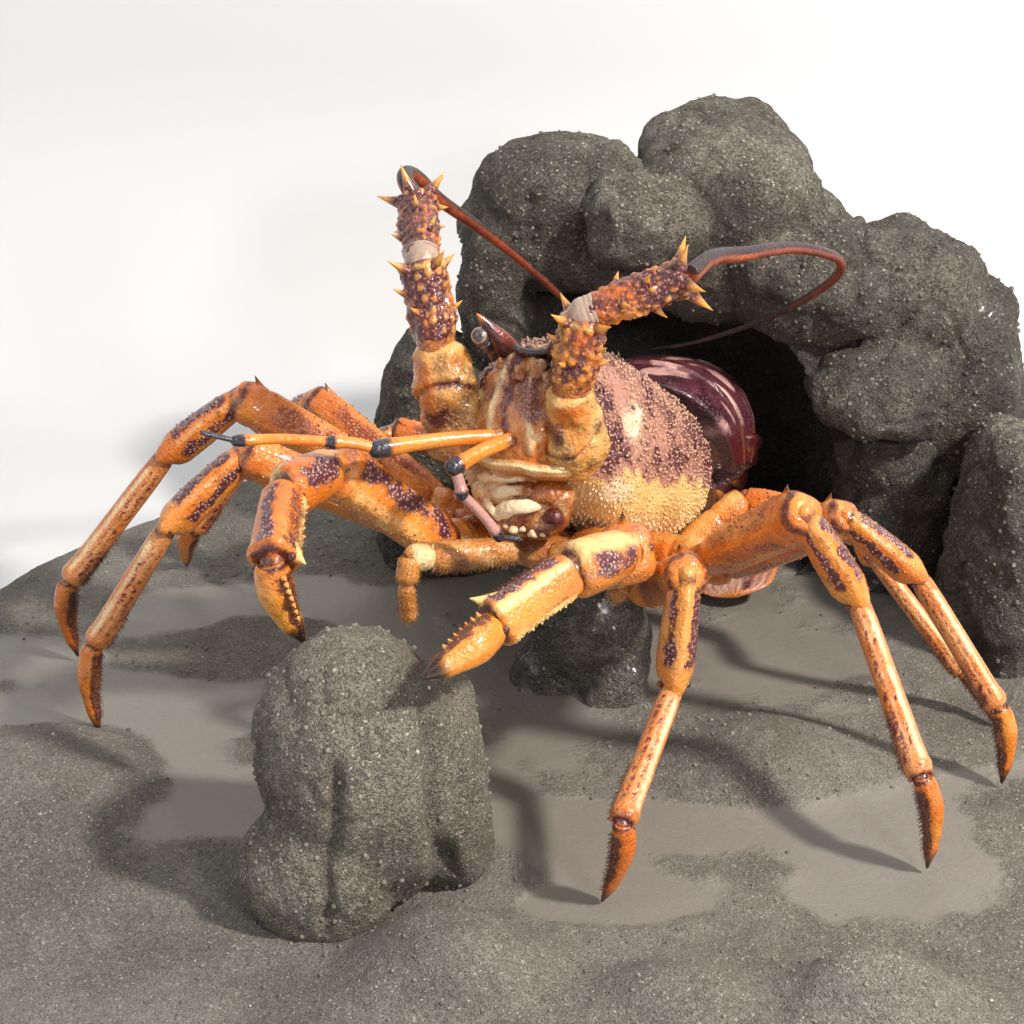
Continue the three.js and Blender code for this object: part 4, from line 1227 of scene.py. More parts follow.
@dataclass
class Carapace:
    """The carapace: a spiny shield with a groove behind the cheek and a rolled rim."""

    half_width: tuple = ((-76, 0.87), (-55, 0.95), (-20, 1), (20, 0.95), (50, 0.85), (75, 0.7), (92, 0.58),
                         (101, 0.48))
    top: tuple = ((-76, 84), (-55, 89), (-20, 95), (20, 100), (50, 103), (80, 101), (101, 95))
    widest: tuple = ((-76, 42), (20, 40), (50, 44), (80, 52), (101, 66))
    underside: tuple = ((-76, 24), (-62, 12), (-20, 5), (20, 7), (50, 14), (80, 30), (101, 52))
    rear: float = -76.0
    front: float = 103.0
    rows: int = 190
    around: int = 300
    bend_above: float = 0.98
    bend_below: float = 0.6
    spots: tuple = ((34, 50, 4.2, 6.5), (76, 58, 13, 9), (62, 50, 7, 4), (88, 50, 6, 4),
                    (104, 88, 6, 9))                # dark spots on the left flank: place and half size
    groove_depth: float = 1.8
    groove_width: float = 4.4

    def groove(self, y: Array, z: Array) -> Array:
        """How far forward the neck groove runs at each height."""
        flank = 46 + 0.43 * (z - 29)
        over = 46 + 0.43 * 47 - 0.38 * np.clip(z - 76, 0, 40) - 0.05 * np.clip(40 - np.abs(y), 0, 40)
        return np.where(z < 76, flank, over)

    def outline(self) -> tuple[Array, Array, Array, Array]:
        """The plain shield: its body places, the cosine and sine round it, and how high it is widest."""
        x = np.concatenate([self.rear + np.array([0, 0.3, 0.8, 1.5]),
                            np.linspace(self.rear + 2.4, self.front - 3, self.rows),
                            self.front - np.array([2.2, 1.5, 0.9, 0.4, 0.1, 0])])
        angle = np.linspace(0, 2 * np.pi, self.around, endpoint=False)[None]
        c, s = np.cos(angle), np.sin(angle)
        bend = np.where(s > 0, self.bend_above, self.bend_below)
        half = (along(self.half_width, x) * CARAPACE_WIDTH / 2)[:, None]
        widest = along(self.widest, x)[:, None]
        above, below = (along(row, x)[:, None] for row in (self.top, self.underside))
        height = np.where(s > 0, above - widest, widest - below)
        y = np.sign(c) * np.abs(c) ** bend * half
        z = widest + np.sign(s) * np.abs(s) ** bend * height
        return np.stack([np.broadcast_to(x[:, None], y.shape), y, z], axis=-1), c, s, widest

    def build(self, shop: Workshop) -> None:
        """Makes the shield, its spines and its granules."""
        body, c, s, widest = self.outline()
        x, y, z = np.moveaxis(body, -1, 0)
        away = x - self.groove(y, z) + 1.6 * noise(body, 13, 3)
        cut = bump(away, 0, self.groove_width) * step(z, 20, 30)
        swell = -self.groove_depth * cut * (0.7 + 0.6 * noise(body, 10, 27, 2))
        swell += 0.9 * bump(x - self.rear, 4.5, 2.6) - 1.2 * bump(x - self.rear, 9.5, 2.6)
        lower = bump(z - along(self.underside, x), 5, 3.0) * (s < 0)
        swell += 1.1 * lower + 0.8 * noise(body, 30, 5, 2)
        cheek = blob(x, z, (66, 36), (15, 11))
        swell += 2.6 * cheek * (y > 0) - 1.4 * blob(x, z, (86, 42), (8, 10))
        purple = step(z + 7 * noise(body, 11, 7, 3), 34, 52)
        stud = domes(x, np.degrees(np.arctan2(z - 40, y)) % 360, 330, 6.4, 11, 0.85)
        swell = swell + 1.7 * stud * purple * (1 - cut) - 1.9
        ends = 0.5 + 0.5 * rounded(x[:, :1], self.rear - 0.2, self.front + 0.2, 4.5)
        y, z = (y + swell * c) * ends, widest + (z + swell * s - widest) * ends
        marks = {"cut": cut, "cheek": cheek, "purple": purple}
        surface = Surface()
        surface.grid(on_body(x, y, z), FORWARD * 0.8 + UPWARD * 0.2, **self.masks(body, x, y, z, marks))
        shield = shop.piece("carapace", surface, CARAPACE, ["carapace"])
        shop.scatter("carapace_spines", shield, SPINE, CARAPACE, 4.1, (1.6, 3.7), "spiny", 41, 0.55)
        shop.scatter("carapace_granules", shield, GRANULE, CARAPACE, 2.3, (0.8, 1.7), "hair", 42, 0.15)

    def masks(self, body: Array, x: Array, y: Array, z: Array, marks: dict[str, Array]) -> dict[str, Array]:
        """Where the shield is dark, pale or stained, and where its spines and granules stand.

        Args:
            body: Places on the plain shield.
            x: How far forward the finished shield's points are.
            y: How far to the left.
            z: How high.
            marks: How far each point lies in the cut of the groove, on the cheek and in the purple.

        Returns:
            The masks.
        """
        cut, cheek, purple = marks["cut"], marks["cheek"], marks["purple"]
        dark = (0.47 + 0.62 * noise(body, 12, 9, 3)) * purple
        for cx, cz, wide, depth in self.spots:
            dark = np.maximum(dark, 1.1 * blob(x, z, (cx, cz), (wide, depth), 1.5) * (y > 0))
        dark = np.maximum(dark, 0.85 * step(x, -18, -50) * purple)
        pearl = 0.5 * blob(x, z, (52, 66), (12, 12)) * np.exp(0.8 * noise(body, 8, 19, 2)) * (y > 0)
        dark = dark * (1 - pearl) * (1 - 0.4 * cut)
        pale = np.maximum(pearl, 0.55 * step(z, 30, 12))
        pale = np.maximum(pale, 0.75 * blob(x, z, (64, 31), (14, 7)))
        dots = domes(x, z * 4, 360, 2.6, 5, 0.5) * cheek * (y > 0)
        dark = np.maximum(dark, 0.62 * step(dots, 0.3, 0.6))
        deep = 0.8 * step(x, 96, 101) * step(z, 74, 84)
        deep = np.maximum(deep, 0.75 * bump(x - self.rear, 9.0, 2.2) * (z > 40))
        spiny = purple * (1 - 0.6 * cut) * step(x, self.rear + 12, self.rear + 22) * step(x, 100, 92)
        spiny = spiny * (0.6 + 0.4 * step(x, 10, 70))
        fine = (1 - 0.6 * pearl) * (1 - 0.7 * cut) * step(x, self.rear + 9, self.rear + 16)
        return {"dark": dark, "pale": pale, "deep": deep, "spiny": spiny, "hair": fine}


@dataclass
class Underside:
    """The breastplate between the leg roots, with a pair of low bosses for each pair of legs."""

    rows: tuple = ((-66, 30, 8), (-40, 36, 12), (0, 30, 12), (40, 22, 11), (72, 16, 8))  # place, width, depth
    around: int = 96

    def build(self, shop: Workshop) -> None:
        """Makes the breastplate."""
        rear, front = self.rows[0][0], self.rows[-1][0]
        x = stretch(rear, front, 1.6)
        ends = rounded(x, rear - 0.1, front + 0.1, 5)
        wide, deep = (along([(row[0], row[k]) for row in self.rows], x) * ends for k in (1, 2))
        angle = degrees_around(self.around)
        swell = 1 - 0.05 * np.abs(np.sin(x / 21 * np.pi))[:, None] + 0.02 * np.cos(np.radians(angle) * 6)
        grid = loft(on_body(x, 0.0, -3.0), wide, deep, LEFTWARD, self.around, swell)
        surface = Surface()
        surface.grid(grid, dark=0.35 + 0.2 * noise(grid, 18, 3, 2), pale=0.4 * turned(angle, 270, 60))
        shop.piece("breastplate", surface, FACE, ["breastplate"])


@dataclass
class Face:
    """The face plate between the antennae, the ledge above the mouth, the brow, horns and eyes."""

    plate: tuple = ((90, -2, 62), (22, 25, 34))
    ledge_half: float = 27.0
    ledge_around: int = 60
    horn: tuple = ((92, 12, 88, 8), (106, 15, 95, 5.2), (118, 24, 105, 0.6))
    horn_rings: int = 46
    horn_around: int = 30
    stalk: tuple = ((96, 19, 88), (108.5, 22, 93))
    eye: tuple = (111, 23, 95)
    bosses: tuple = ((107, 6, 84, 3.4), (108, -3, 80, 2.8), (105, 12, 79, 3.6), (104, -13, 83, 3.2))

    def build_plate(self, shop: Workshop) -> None:
        """Makes the face plate and the ledge under it."""
        lift = np.linspace(-88, 88, 110)[:, None]
        turn = np.linspace(0, 360, 170, endpoint=False)[None]
        d = np.stack([np.cos(np.radians(lift)) * np.cos(np.radians(turn)),
                      np.cos(np.radians(lift)) * np.sin(np.radians(turn)),
                      np.sin(np.radians(lift)) + 0 * turn], axis=-1)
        p = np.array(self.plate[0]) + d * np.array(self.plate[1]) * blunted(d, 2.4)[..., None]
        y, z = p[..., 1], p[..., 2]
        ridges = bump(y + 13 - 0.12 * (z - 60), 0, 2.4) + bump(y - 7 + 0.16 * (z - 60), 0, 2.2)
        ridges = ridges * step(z, 38, 48)
        hollow = blob(y, z, (-3, 78), (7, 12))
        move = 1.6 * ridges - 2.4 * hollow + 1.5 * noise(p, 9, 3, 2) + 0.5 * noise(p, 3.5, 4) - 1.6
        p = p + d * move[..., None]
        surface = Surface()
        grooves = step(noise(p * np.array([1, 1, 0.4]), 7, 6, 2), -0.1, 0.5)
        channel = bump(y, -6, 4.8) * step(z, 38, 50)
        strip = bump(y, 8, 4.0) * step(z, 54, 62)
        pale = 0.5 * step(noise(p, 8, 8), 0.1, 0.6) * (1 - channel) + 0.8 * ridges + 0.6 * step(z, 37, 31)
        surface.grid(body_points(p), dark=0.5 * grooves * step(z, 50, 66) + 0.4 * hollow + 0.62 * strip,
                     pale=pale, deep=0.62 * channel + 0.2 * hollow)
        self.add_ledge(surface)
        shop.piece("face", surface, FACE, ["face"])

    def add_ledge(self, surface: Surface) -> None:
        """Adds the finely lined ledge above the mouth."""
        half = self.ledge_half
        y = stretch(-half, half, 1.0)
        end = (1 - np.abs(y / (half + 0.2)) ** 2.4) ** (1 / 2.4)
        angle = degrees_around(self.ledge_around)
        path = np.stack([95.5 - 7 * (y / half) ** 2, 4 + y, 36.5 + 3.5 * (y / half) ** 2 + 0.06 * y], axis=1)
        path = path + 1.5 * noise(path, 9, 12)[:, None] * np.array([0.4, 0, 1.0])
        grid = loft(path, 13 * end, 5.6 * end * (1 + 0.16 * noise(path, 7, 2)), np.array([1.0, 0, 0]),
                    self.ledge_around)
        lines = 0.5 * np.sin(np.radians(angle) * 11) * turned(angle, 0, 60)
        grid = grid + np.array([0.9, 0, 0]) * lines[..., None]
        surface.grid(body_points(grid), dark=0.3 * step(noise(grid, 9, 4), 0.1, 0.6),
                     pale=0.2 + 0.6 * turned(angle, 8, 26), deep=0.5 * turned(angle, 328, 9))

    def build_brow(self, shop: Workshop) -> None:
        """Makes the dark collar between the horns and the small bosses before it."""
        surface = Surface()
        y = np.linspace(-15, 15, 44)
        path = on_body(103.5 - 2.2 * (y / 15) ** 2, y, 90.5 + 5.5 * (y / 15) ** 2)
        girth = 2.0 * rounded(y, -15.2, 15.2, 3)
        surface.grid(loft(path, girth * 1.2, girth, FORWARD, 20), dark=0.7)
        shop.piece("brow", surface, DARK)
        bosses = Surface()
        for x, y, z, radius in self.bosses:
            bosses.ball((x, y, z), (radius, radius * 1.1, radius * 1.2), (18, 24), on_body, 2.0, 0.12,
                        int(y) % 7, pale=0.3, dark=0.45)
            root = on_body(x, y, z)
            bosses.thorn(root, root + FORWARD * 5.0 + UPWARD * 3.4, 1.7)
        shop.piece("face_bosses", bosses, FACE)

    def build_horn(self, side: Side, shop: Workshop) -> None:
        """Makes one horn."""
        rows = np.array(self.horn, float)
        rows[:, 1] *= side.value
        path = spline(body_points(rows[:, :3]), self.horn_rings)
        t = np.linspace(0, 1, self.horn_rings)
        girth = np.interp(t, [0, 0.55, 1], rows[:, 3]) * rounded(t * 40, -0.5, 40.5, 4)
        angle = degrees_around(self.horn_around)
        swell = 1 + 0.05 * turned(angle, 90, 20) + 0.04 * noise(path[:, None] + 0 * angle[..., None], 6, 2)
        warm = 0.75 * turned(angle, 0 if side is Side.RIGHT else 180, 50) * step(t, 0.95, 0.4)[:, None]
        surface = Surface()
        surface.grid(loft(path, girth, girth * 0.85, LEFTWARD, self.horn_around, swell), pale=warm,
                     tip=0.9 * step(t, 0.8, 0.97)[:, None], deep=0.9 * step(t, 0.5, 0.2)[:, None])
        for share, length in ((0.3, 4.5), (0.5, 3.6)):
            root = path[int(share * (self.horn_rings - 1))]
            aside = LEFTWARD * side.value * length * 1.2
            surface.thorn(root, root + FORWARD * length + aside + UPWARD * 2, 1.9)
        shop.piece(f"horn_{side.word}", surface, DARK, [f"horn_{side.word}"])

    def build_eye(self, side: Side, shop: Workshop) -> None:
        """Makes one eye on its stalk: a dark glassy ball with a pale ring, in a mauve cup."""
        x, y, z = self.eye
        centre = np.array([x, y * side.value, z], float)
        lift = np.linspace(-86, 86, 34)[:, None]
        turn = degrees_around(44)
        r = EYE_RADIUS * 0.98
        out = r * np.cos(np.radians(lift))
        local = np.stack([r * np.sin(np.radians(lift)) + 0 * turn, out * np.cos(np.radians(turn)),
                          out * np.sin(np.radians(turn))], axis=-1)
        ball = Surface()
        ball.grid(body_points(centre + local), pale=1.1 * (bump(lift, 40, 8) + 0 * turn))
        shop.piece(f"eye_{side.word}", ball, EYE, [f"eye_{side.word}"])
        stalk = Surface()
        start, end = (on_body(x, y * side.value, z) for x, y, z in self.stalk)
        t = np.linspace(0, 1, 20)
        girth = np.interp(t, [0, 0.4, 0.8, 1], [4.3, 3.0, 3.4, 3.9])
        stalk.grid(loft(start + (end - start) * t[:, None], girth, girth, UPWARD, 24), deep=0.7, dark=0.4)
        stalk.thorn(start, start + UPWARD * 7 + LEFTWARD * side.value * 3, 2.2)
        shop.piece(f"eye_stalk_{side.word}", stalk, FEELER)

    def build(self, shop: Workshop) -> None:
        """Makes everything on the face."""
        self.build_plate(shop)
        self.build_brow(shop)
        for side in Side:
            self.build_horn(side, shop)
            self.build_eye(side, shop)


@dataclass
class Antenna:
    """An antenna stem: three spiny articles with a soft joint between the last two."""

    side: Side
    joints: tuple[Array, ...]
    girths: tuple = ((17.5, 16.0), (13.5, 12.5), (11.5, 10.5))
    base: tuple = ((0.0, 0.98), (0.3, 1.0), (0.6, 0.93), (0.85, 0.88), (1.0, 0.78))
    article: tuple = ((0.0, 0.86), (0.07, 0.92), (0.5, 1), (0.93, 0.94), (1.0, 0.9))
    thorn_rings: tuple = ((1, 0.9, 4, 9), (2, 0.95, 5, 11))
    thorn_root: float = 3.4
    around: int = 84

    def one(self, index: int) -> Surface:
        """The surface of one article with its tubercles."""
        start, end = self.joints[index:index + 2]
        s, t, path = lengthwise(start, end, 2.0, 1.5 if index < 2 else 0, 1.0)
        share = along(self.article if index else self.base, t)[:, None]
        share = share * rounded(s, -2.2, s[-1] + 0.1, 2.6 if index else 7.0)[:, None]
        wide, deep = self.girths[index]
        left = self.side is Side.LEFT
        if index == 0 and left:
            wide, deep = wide * 0.84, deep * 0.9
        angle = degrees_around(self.around)
        t = t[:, None]
        girth = 2 * math.pi * wide
        seed = 60 + 10 * index + left
        stud = domes(s[:, None], angle, girth, (6.5, 5.6, 5.0)[index], seed)
        fine = domes(s[:, None], angle, girth, 2.3, seed + 4)
        ring = (path, wide * share[:, 0], deep * share[:, 0], LEFTWARD, self.around)
        plain = loft(*ring)
        height = (0.8, 1.6, 1.6)[index] * stud * step(t, 0.06, 0.2) * step(t, 1.0, 0.9)
        collar = (0.3, 1.0, 1.0)[index] * bump(t, 0.93, 0.045)
        lumps = (3.2, 0.9, 0.8)[index] * noise(plain, (15, 8, 8)[index], seed + 1, 2)
        if index == 0:
            slant = 0.2 * np.sin(np.radians(angle - (330 if left else 200)))
            away = t - 0.5 - slant - 0.03 * noise(plain, 9, 4)
            seam = bump(away, 0, 0.022)
            lumps = lumps - 1.9 * seam + 1.5 * bump(away, 0.07, 0.05)
        swell = 1 + (height + (0.7, 0.4, 0.4)[index] * fine + collar + lumps - 2.4) / wide
        grid = loft(*ring, swell)
        mottle = noise(grid, 11, seed, 2)
        dark = (0.42, 0.6, 0.68)[index] + 0.45 * mottle - 0.35 * step(stud, 0.2, 0.6)
        tip = 0.55 * step(stud * (0.8 + 0.5 * mottle), 0.35, 0.9) * (index > 0)
        if index == 0:
            patch = belt(angle, 285 if left else 225, 42, 20) * bump(t, 0.8 if left else 0.72, 0.17)
            purple = belt(angle, 235 if left else 262, 30, 20) * bump(t, 0.62 if left else 0.42, 0.1)
            dark = 0.3 + 0.25 * mottle + 0.45 * purple - 0.4 * patch + 0.4 * seam
            pale = (0.7 if left else 0.5) + 0.5 * mottle - 0.9 * patch + 0.4 * bump(t, 0.95, 0.06)
        elif index == 1:
            middle = turned(angle, 300 if left else 250, 40)
            dark = dark + (0.1 if left else 0.5 * middle) - 0.5 * collar
            pale = 0.35 + 0.6 * collar * (angle > 0) + 0.2 * mottle - 0.3 * middle
        else:
            middle = turned(angle, 90 if left else 255, 60)
            dark = dark + 0.5 * middle + (0.22 if left else -0.15) * turned(angle, 270, 55)
            pale = 0.15 * mottle
        surface = Surface()
        surface.grid(grid, unit(end - start), dark=np.clip(dark, 0, 1), pale=np.clip(pale, 0, 1), tip=tip)
        return surface

    def thorns(self, surface: Surface, index: int) -> None:
        """Adds the ring of thorns and a few smaller ones down the stem."""
        axis = unit(self.joints[index + 1] - self.joints[index])
        across = unit(LEFTWARD - axis * (LEFTWARD @ axis))
        up = np.cross(axis, across)
        deep = self.girths[index][1]
        rings = [ring for ring in self.thorn_rings if ring[0] == index]
        extra = [(index, 0.62, 3, 5.5), (index, 0.36, 3, 4.5)]
        for k, (_, t, count, length) in enumerate([*rings, *extra]):
            for i in range(count):
                angle = i / count * 2 * math.pi + index + 0.7 * k
                out = across * math.cos(angle) + up * math.sin(angle)
                middle = self.joints[index] * (1 - t) + self.joints[index + 1] * t
                root = middle + out * deep * (0.6 if k == 0 else 0.72)
                tip = root + out * (deep * (0.4 if k == 0 else 0.25) + length * 0.78) + axis * length * 0.68
                radius = self.thorn_root * (1.12 if k == 0 else 0.75)
                light = 0.95 * step(np.linspace(0, 1, 9), 0.25, 0.7)[:, None]
                surface.thorn(root, tip, radius, -axis * 1.6, 14, dark=0.8, tip=light)

    def build(self, shop: Workshop) -> None:
        """Makes the three articles and the soft joints between them."""
        word = self.side.word
        for index, name in enumerate(("base", "middle", "end")):
            surface = self.one(index)
            if index:
                self.thorns(surface, index)
            nodes = [f"antenna_{word}"] if index == 0 else ()
            shop.piece(f"antenna_{word}_{name}", surface, STEM, nodes)
        soft = Surface()
        for index in (1, 2):
            middle = self.joints[index]
            tone = 1.0 if index == 2 else 0.0
            before = unit(self.joints[index] - self.joints[index - 1])
            after = unit(self.joints[index + 1] - self.joints[index])
            girth = self.girths[index][1]
            t = np.linspace(-1, 1, 24)
            path = middle + np.where(t[:, None] < 0, before * t[:, None], after * t[:, None]) * girth * 0.6
            radius = girth * (0.8 if index == 2 else 0.74) * (1 + 0.02 * np.sin(t * 17))
            soft.grid(loft(path, radius, radius, LEFTWARD, 48), deep=0.9 * tone, dark=0.5 * (1 - tone))
        shop.piece(f"antenna_{word}_joints", soft, STEM)


@dataclass
class Whip:
    """An antenna whip, ringed along its length, in a near and a far part."""

    side: Side
    points: tuple
    lengths: tuple = (("near", 0.004, 0.4998), ("far", 0.5002, 1.0))
    taper: float = 0.16
    ring: float = 1.7
    around: int = 20

    def build(self, shop: Workshop) -> None:
        """Makes both parts."""
        curve = spline(self.points, 1800)
        steps = np.linalg.norm(np.diff(curve, axis=0), axis=1)
        total = float(steps.sum())
        for name, start, end in self.lengths:
            count = int((end - start) * total / 0.42)
            t = np.linspace(start, end, count)
            places = np.linspace(0, 1, len(curve))
            path = np.stack([np.interp(t, places, curve[:, k]) for k in range(3)], axis=1)
            radius = FLAGELLUM_RADIUS * (1 + (self.taper - 1) * t)
            groove = np.clip(np.cos(t * total / self.ring * 2 * math.pi), 0, 1) ** 3
            foot = 1 + 0.12 * bump(t * total, 0, 7)
            ends = rounded(t * total, start * total - 0.1, end * total + 0.1, 0.35)
            radius = radius * (0.98 - 0.07 * groove) * foot * ends
            grid = loft(path, radius, radius, LEFTWARD, self.around)
            up = grid[..., 2] - path[:, None, 2]
            top = step(up / radius[:, None], -0.15, 0.55)
            surface = Surface()
            # The top is dark by its own colour; the far part, which runs back into the cave, is painted
            # darker: painted shade.
            surface.grid(grid, dark=np.maximum(0.95 * top, 0.75 * step(t, 0.4, 0.75)[:, None]),
                         deep=0.3 * groove[:, None], pale=0.25 * (1 - top) * step(t, 0.5, 0.2)[:, None])
            name = f"whip_{self.side.word}_{name}"
            shop.piece(name, surface, WHIP, [name])


@dataclass
class Antennule:
    """An antennule: slim stalks with swollen joints and a pair of short whips."""

    side: Side
    points: tuple
    girths: tuple = (4.3, 3.2, 2.8, 2)
    stalk: tuple = ((0, 0.1, 0.25, 0.75, 0.92, 1), (0.9, 0.8, 0.78, 0.82, 1.0, 0.95))   # places, girth there

    def build(self, shop: Workshop) -> None:
        """Makes the stalk and its two whips."""
        surface = Surface()
        points = [np.array(p, float) for p in self.points]
        mauve = 0.85 if self.side is Side.LEFT else 0.0
        for k in range(3):
            start, end = points[k], points[k + 1]
            s, t, path = lengthwise(start, end, 0.8, 0.8, 0.8)
            girth = self.girths[k] * np.interp(t, *self.stalk)
            girth = girth * rounded(s, s[0] - 0.1, s[-1] + 0.1, 1.6) * 1.06
            ends = np.maximum(step(t, 0.86, 0.95), step(t, 0.1, 0.02))
            path = path + UPWARD * (1.2 * np.sin(np.pi * np.clip(t, 0, 1)))[:, None]
            root = 0.62 * step(t, 0.22, 0.04) if k == 0 else 0 * t
            deep = np.maximum(0.9 * ends * (k > 0 or t > 0.5), root)
            surface.grid(loft(path, girth, girth, UPWARD, 26), deep=deep[:, None],
                         dark=0.5 * step(t, 0.7, 0.95)[:, None],
                         pale=mauve * (k > 0) + 0.15 * bump(t, 0.5, 0.2)[:, None])
            surface.ball(end, (self.girths[k] * (1.0, 0.92, 0.95)[k],) * 3, (14, 20), deep=1.0)
        start, end = points[3], points[4]
        out = unit(np.cross(end - start, [0.2, 0.1, 1.0]))
        for sign in (-1, 1):
            t = np.linspace(0, 1, 60)
            path = start + (end - start) * t[:, None] + out * (sign * 1.25 * np.sin(t * 2.0))[:, None]
            girth = self.girths[3] * 0.62 * (1 - 0.45 * t) * (1 + 0.07 * np.cos(t * 90))
            girth = girth * rounded(t * 20, -0.1, 20.1, 1.5)
            surface.grid(loft(path, girth, girth, UPWARD, 16), deep=1.0)
        name = f"antennule_{self.side.word}"
        shop.piece(name, surface, FEELER, [name])


@dataclass
class Maxilliped:
    """A third maxilliped: a thick bristly length, a short pale one and a bent finger."""

    side: Side
    points: tuple
    girths: tuple = (8, 7, 6, 4.6)
    first: tuple = ((0, 0.9), (0.5, 1), (0.9, 1), (1, 0.85))
    others: tuple = ((0, 0.75), (0.2, 1), (0.85, 0.95), (1, 0.8))
    around: int = 44

    def build(self, shop: Workshop) -> None:
        """Makes its four lengths and its bristles."""
        surface = Surface()
        points = [np.array(p, float) for p in self.points]
        for k in range(4):
            start, end = points[k], points[k + 1]
            s, t, path = lengthwise(start, end, 2.0, 1.6, 0.9)
            t = np.clip(t, 0, 1)
            share = along(self.first if k == 0 else self.others, t) * rounded(s, s[0] - 0.1, s[-1] + 0.1, 3)
            angle = degrees_around(self.around)
            girth = self.girths[k] * share * 0.97
            fine = domes(s[:, None], angle, 2 * math.pi * self.girths[k], 2.0, 90 + k)
            swell = 1 + 0.07 * fine + 0.06 * turned(angle, 90, 18) - 0.06
            grid = loft(path, girth, girth, UPWARD, self.around, swell)
            low = turned(angle, 200, 110) * np.ones((len(s), 1))
            surface.grid(grid, unit(end - start) * 0.5 + np.array([0, 0, -0.6]),
                         dark=(0.45, 0.1, 0.2, 0.15)[k] * low + 0.15 * noise(grid, 7, k, 2),
                         pale=(0.25, 0.75, 0.15, 0.0)[k] + 0.2 * noise(grid, 9, k + 5),
                         deep=0.6 * bump(t, 0.0, 0.06)[:, None],
                         hair=(1.0, 0.4, 0.8, 1.0)[k] * np.maximum(low, (0.0, 0.0, 0.5, 0.9)[k]))
        for k, height in ((1, 6.0), (2, 2.5)):
            root = points[k] + np.array([0, -2.0, 3.0])
            surface.thorn(root, root + np.array([2.0, -2.5, height]), 2.6)
        name = f"maxilliped_{self.side.word}"
        limb = shop.piece(name, surface, MAXILLIPED, [name])
        shop.scatter(f"{name}_bristles", limb, HAIR, MAXILLIPED, 1.25, (1.4, 2.8), "hair", 51, 0.5)


@dataclass
class Mouth:
    """The mouthparts: jaws, palps, small plates and the pad that carries them."""

    pad: tuple = ((80, 1, 20), (13, 25, 18))
    plates: tuple = ((84, -12, 22, 9, 12, 9, 0.1, 0.35), (84, 12, 22, 9, 12, 9, 0.0, 0.6),
                     (86, -15, 29, 5, 8, 4.5, 0.3, 0.2), (86, 13, 27, 7, 9, 6.5, 0.0, 0.8))
    palps: tuple = ((((88, -17, 27), (92, -8, 31), (94, 2, 32.5), (92, 11, 33)), 3.0),
                    (((89, -15, 19), (94, -8, 23.5), (96, 1, 25.5), (94, 9, 26)), 2.7),
                    (((88, -12, 11), (93.5, -5, 15), (95, 4, 18), (92, 13, 20)), 3.7),
                    (((87, -18, 21), (92, -15, 18), (93, -11, 14), (91, -6, 11)), 2.2))

    def build(self, shop: Workshop) -> None:
        """Makes the pad, the jaws and what lies on them."""
        pad = Surface()
        centre, radii = self.pad
        pad.ball(centre, tuple(r - 1 for r in radii), (60, 90), on_body, 2.4, 0.03, 5, dark=0.7, deep=0.45)
        shop.piece("mouthparts", pad, MOUTH, ["mouthparts"])
        jaws = Surface()
        for x, y, z, rx, ry, rz, pale, dark in self.plates:
            jaws.ball((x, y, z), (rx, ry, rz), (36, 50), on_body, 2.4, 0.09, int(x + y) % 9, pale=pale,
                      dark=dark)
        for seed, (rows, tall) in enumerate(self.palps, 1):
            path = spline(body_points(rows), 56)
            t = np.linspace(0, 1, 56)
            width = tall * (0.75 + 0.4 * np.sin(np.pi * t ** 0.8)) * rounded(t * 24, -0.1, 24.1, 3.5)
            grid = loft(path, width * 0.62, width, FORWARD, 34)
            knots = noise(grid, 6, seed, 2)
            grid = path[:, None] + (grid - path[:, None]) * (0.9 + 0.2 * knots)[..., None]
            amber = step(t, 0.55, 0.9)[:, None] * (seed in (1, 2))
            jaws.grid(grid, pale=0.75 + 0.4 * knots - 0.8 * amber,
                      dark=0.8 * amber + 0.25 * step(knots, 0.1, 0.6))
        for k in range(6):
            y = -9 + 4.4 * k
            size = 0.75 + 0.5 * float(chance(np.array(k), np.array(3), seed=5))
            jaws.ball((88 - 0.02 * y * y, y, 6.5 + 1.2 * (k % 2)), (3.6, 2.3 * size, 2.2 * size), (12, 16),
                      on_body, 2.6, 0.06, k, pale=0.55)
        shop.piece("jaws", jaws, MOUTH)
        glossy = Surface()
        glossy.ball((90, 19, 15.5), (4.4, 5.4, 4.2), (24, 32), on_body, 2.0, 0.05, 4, deep=1.0)
        glossy.ball((92, 13, 25.5), (3.6, 6.4, 5.0), (24, 32), on_body, 2.2, 0.05, 3, dark=0.95)
        shop.piece("mouth_glands", glossy, MOUTH)


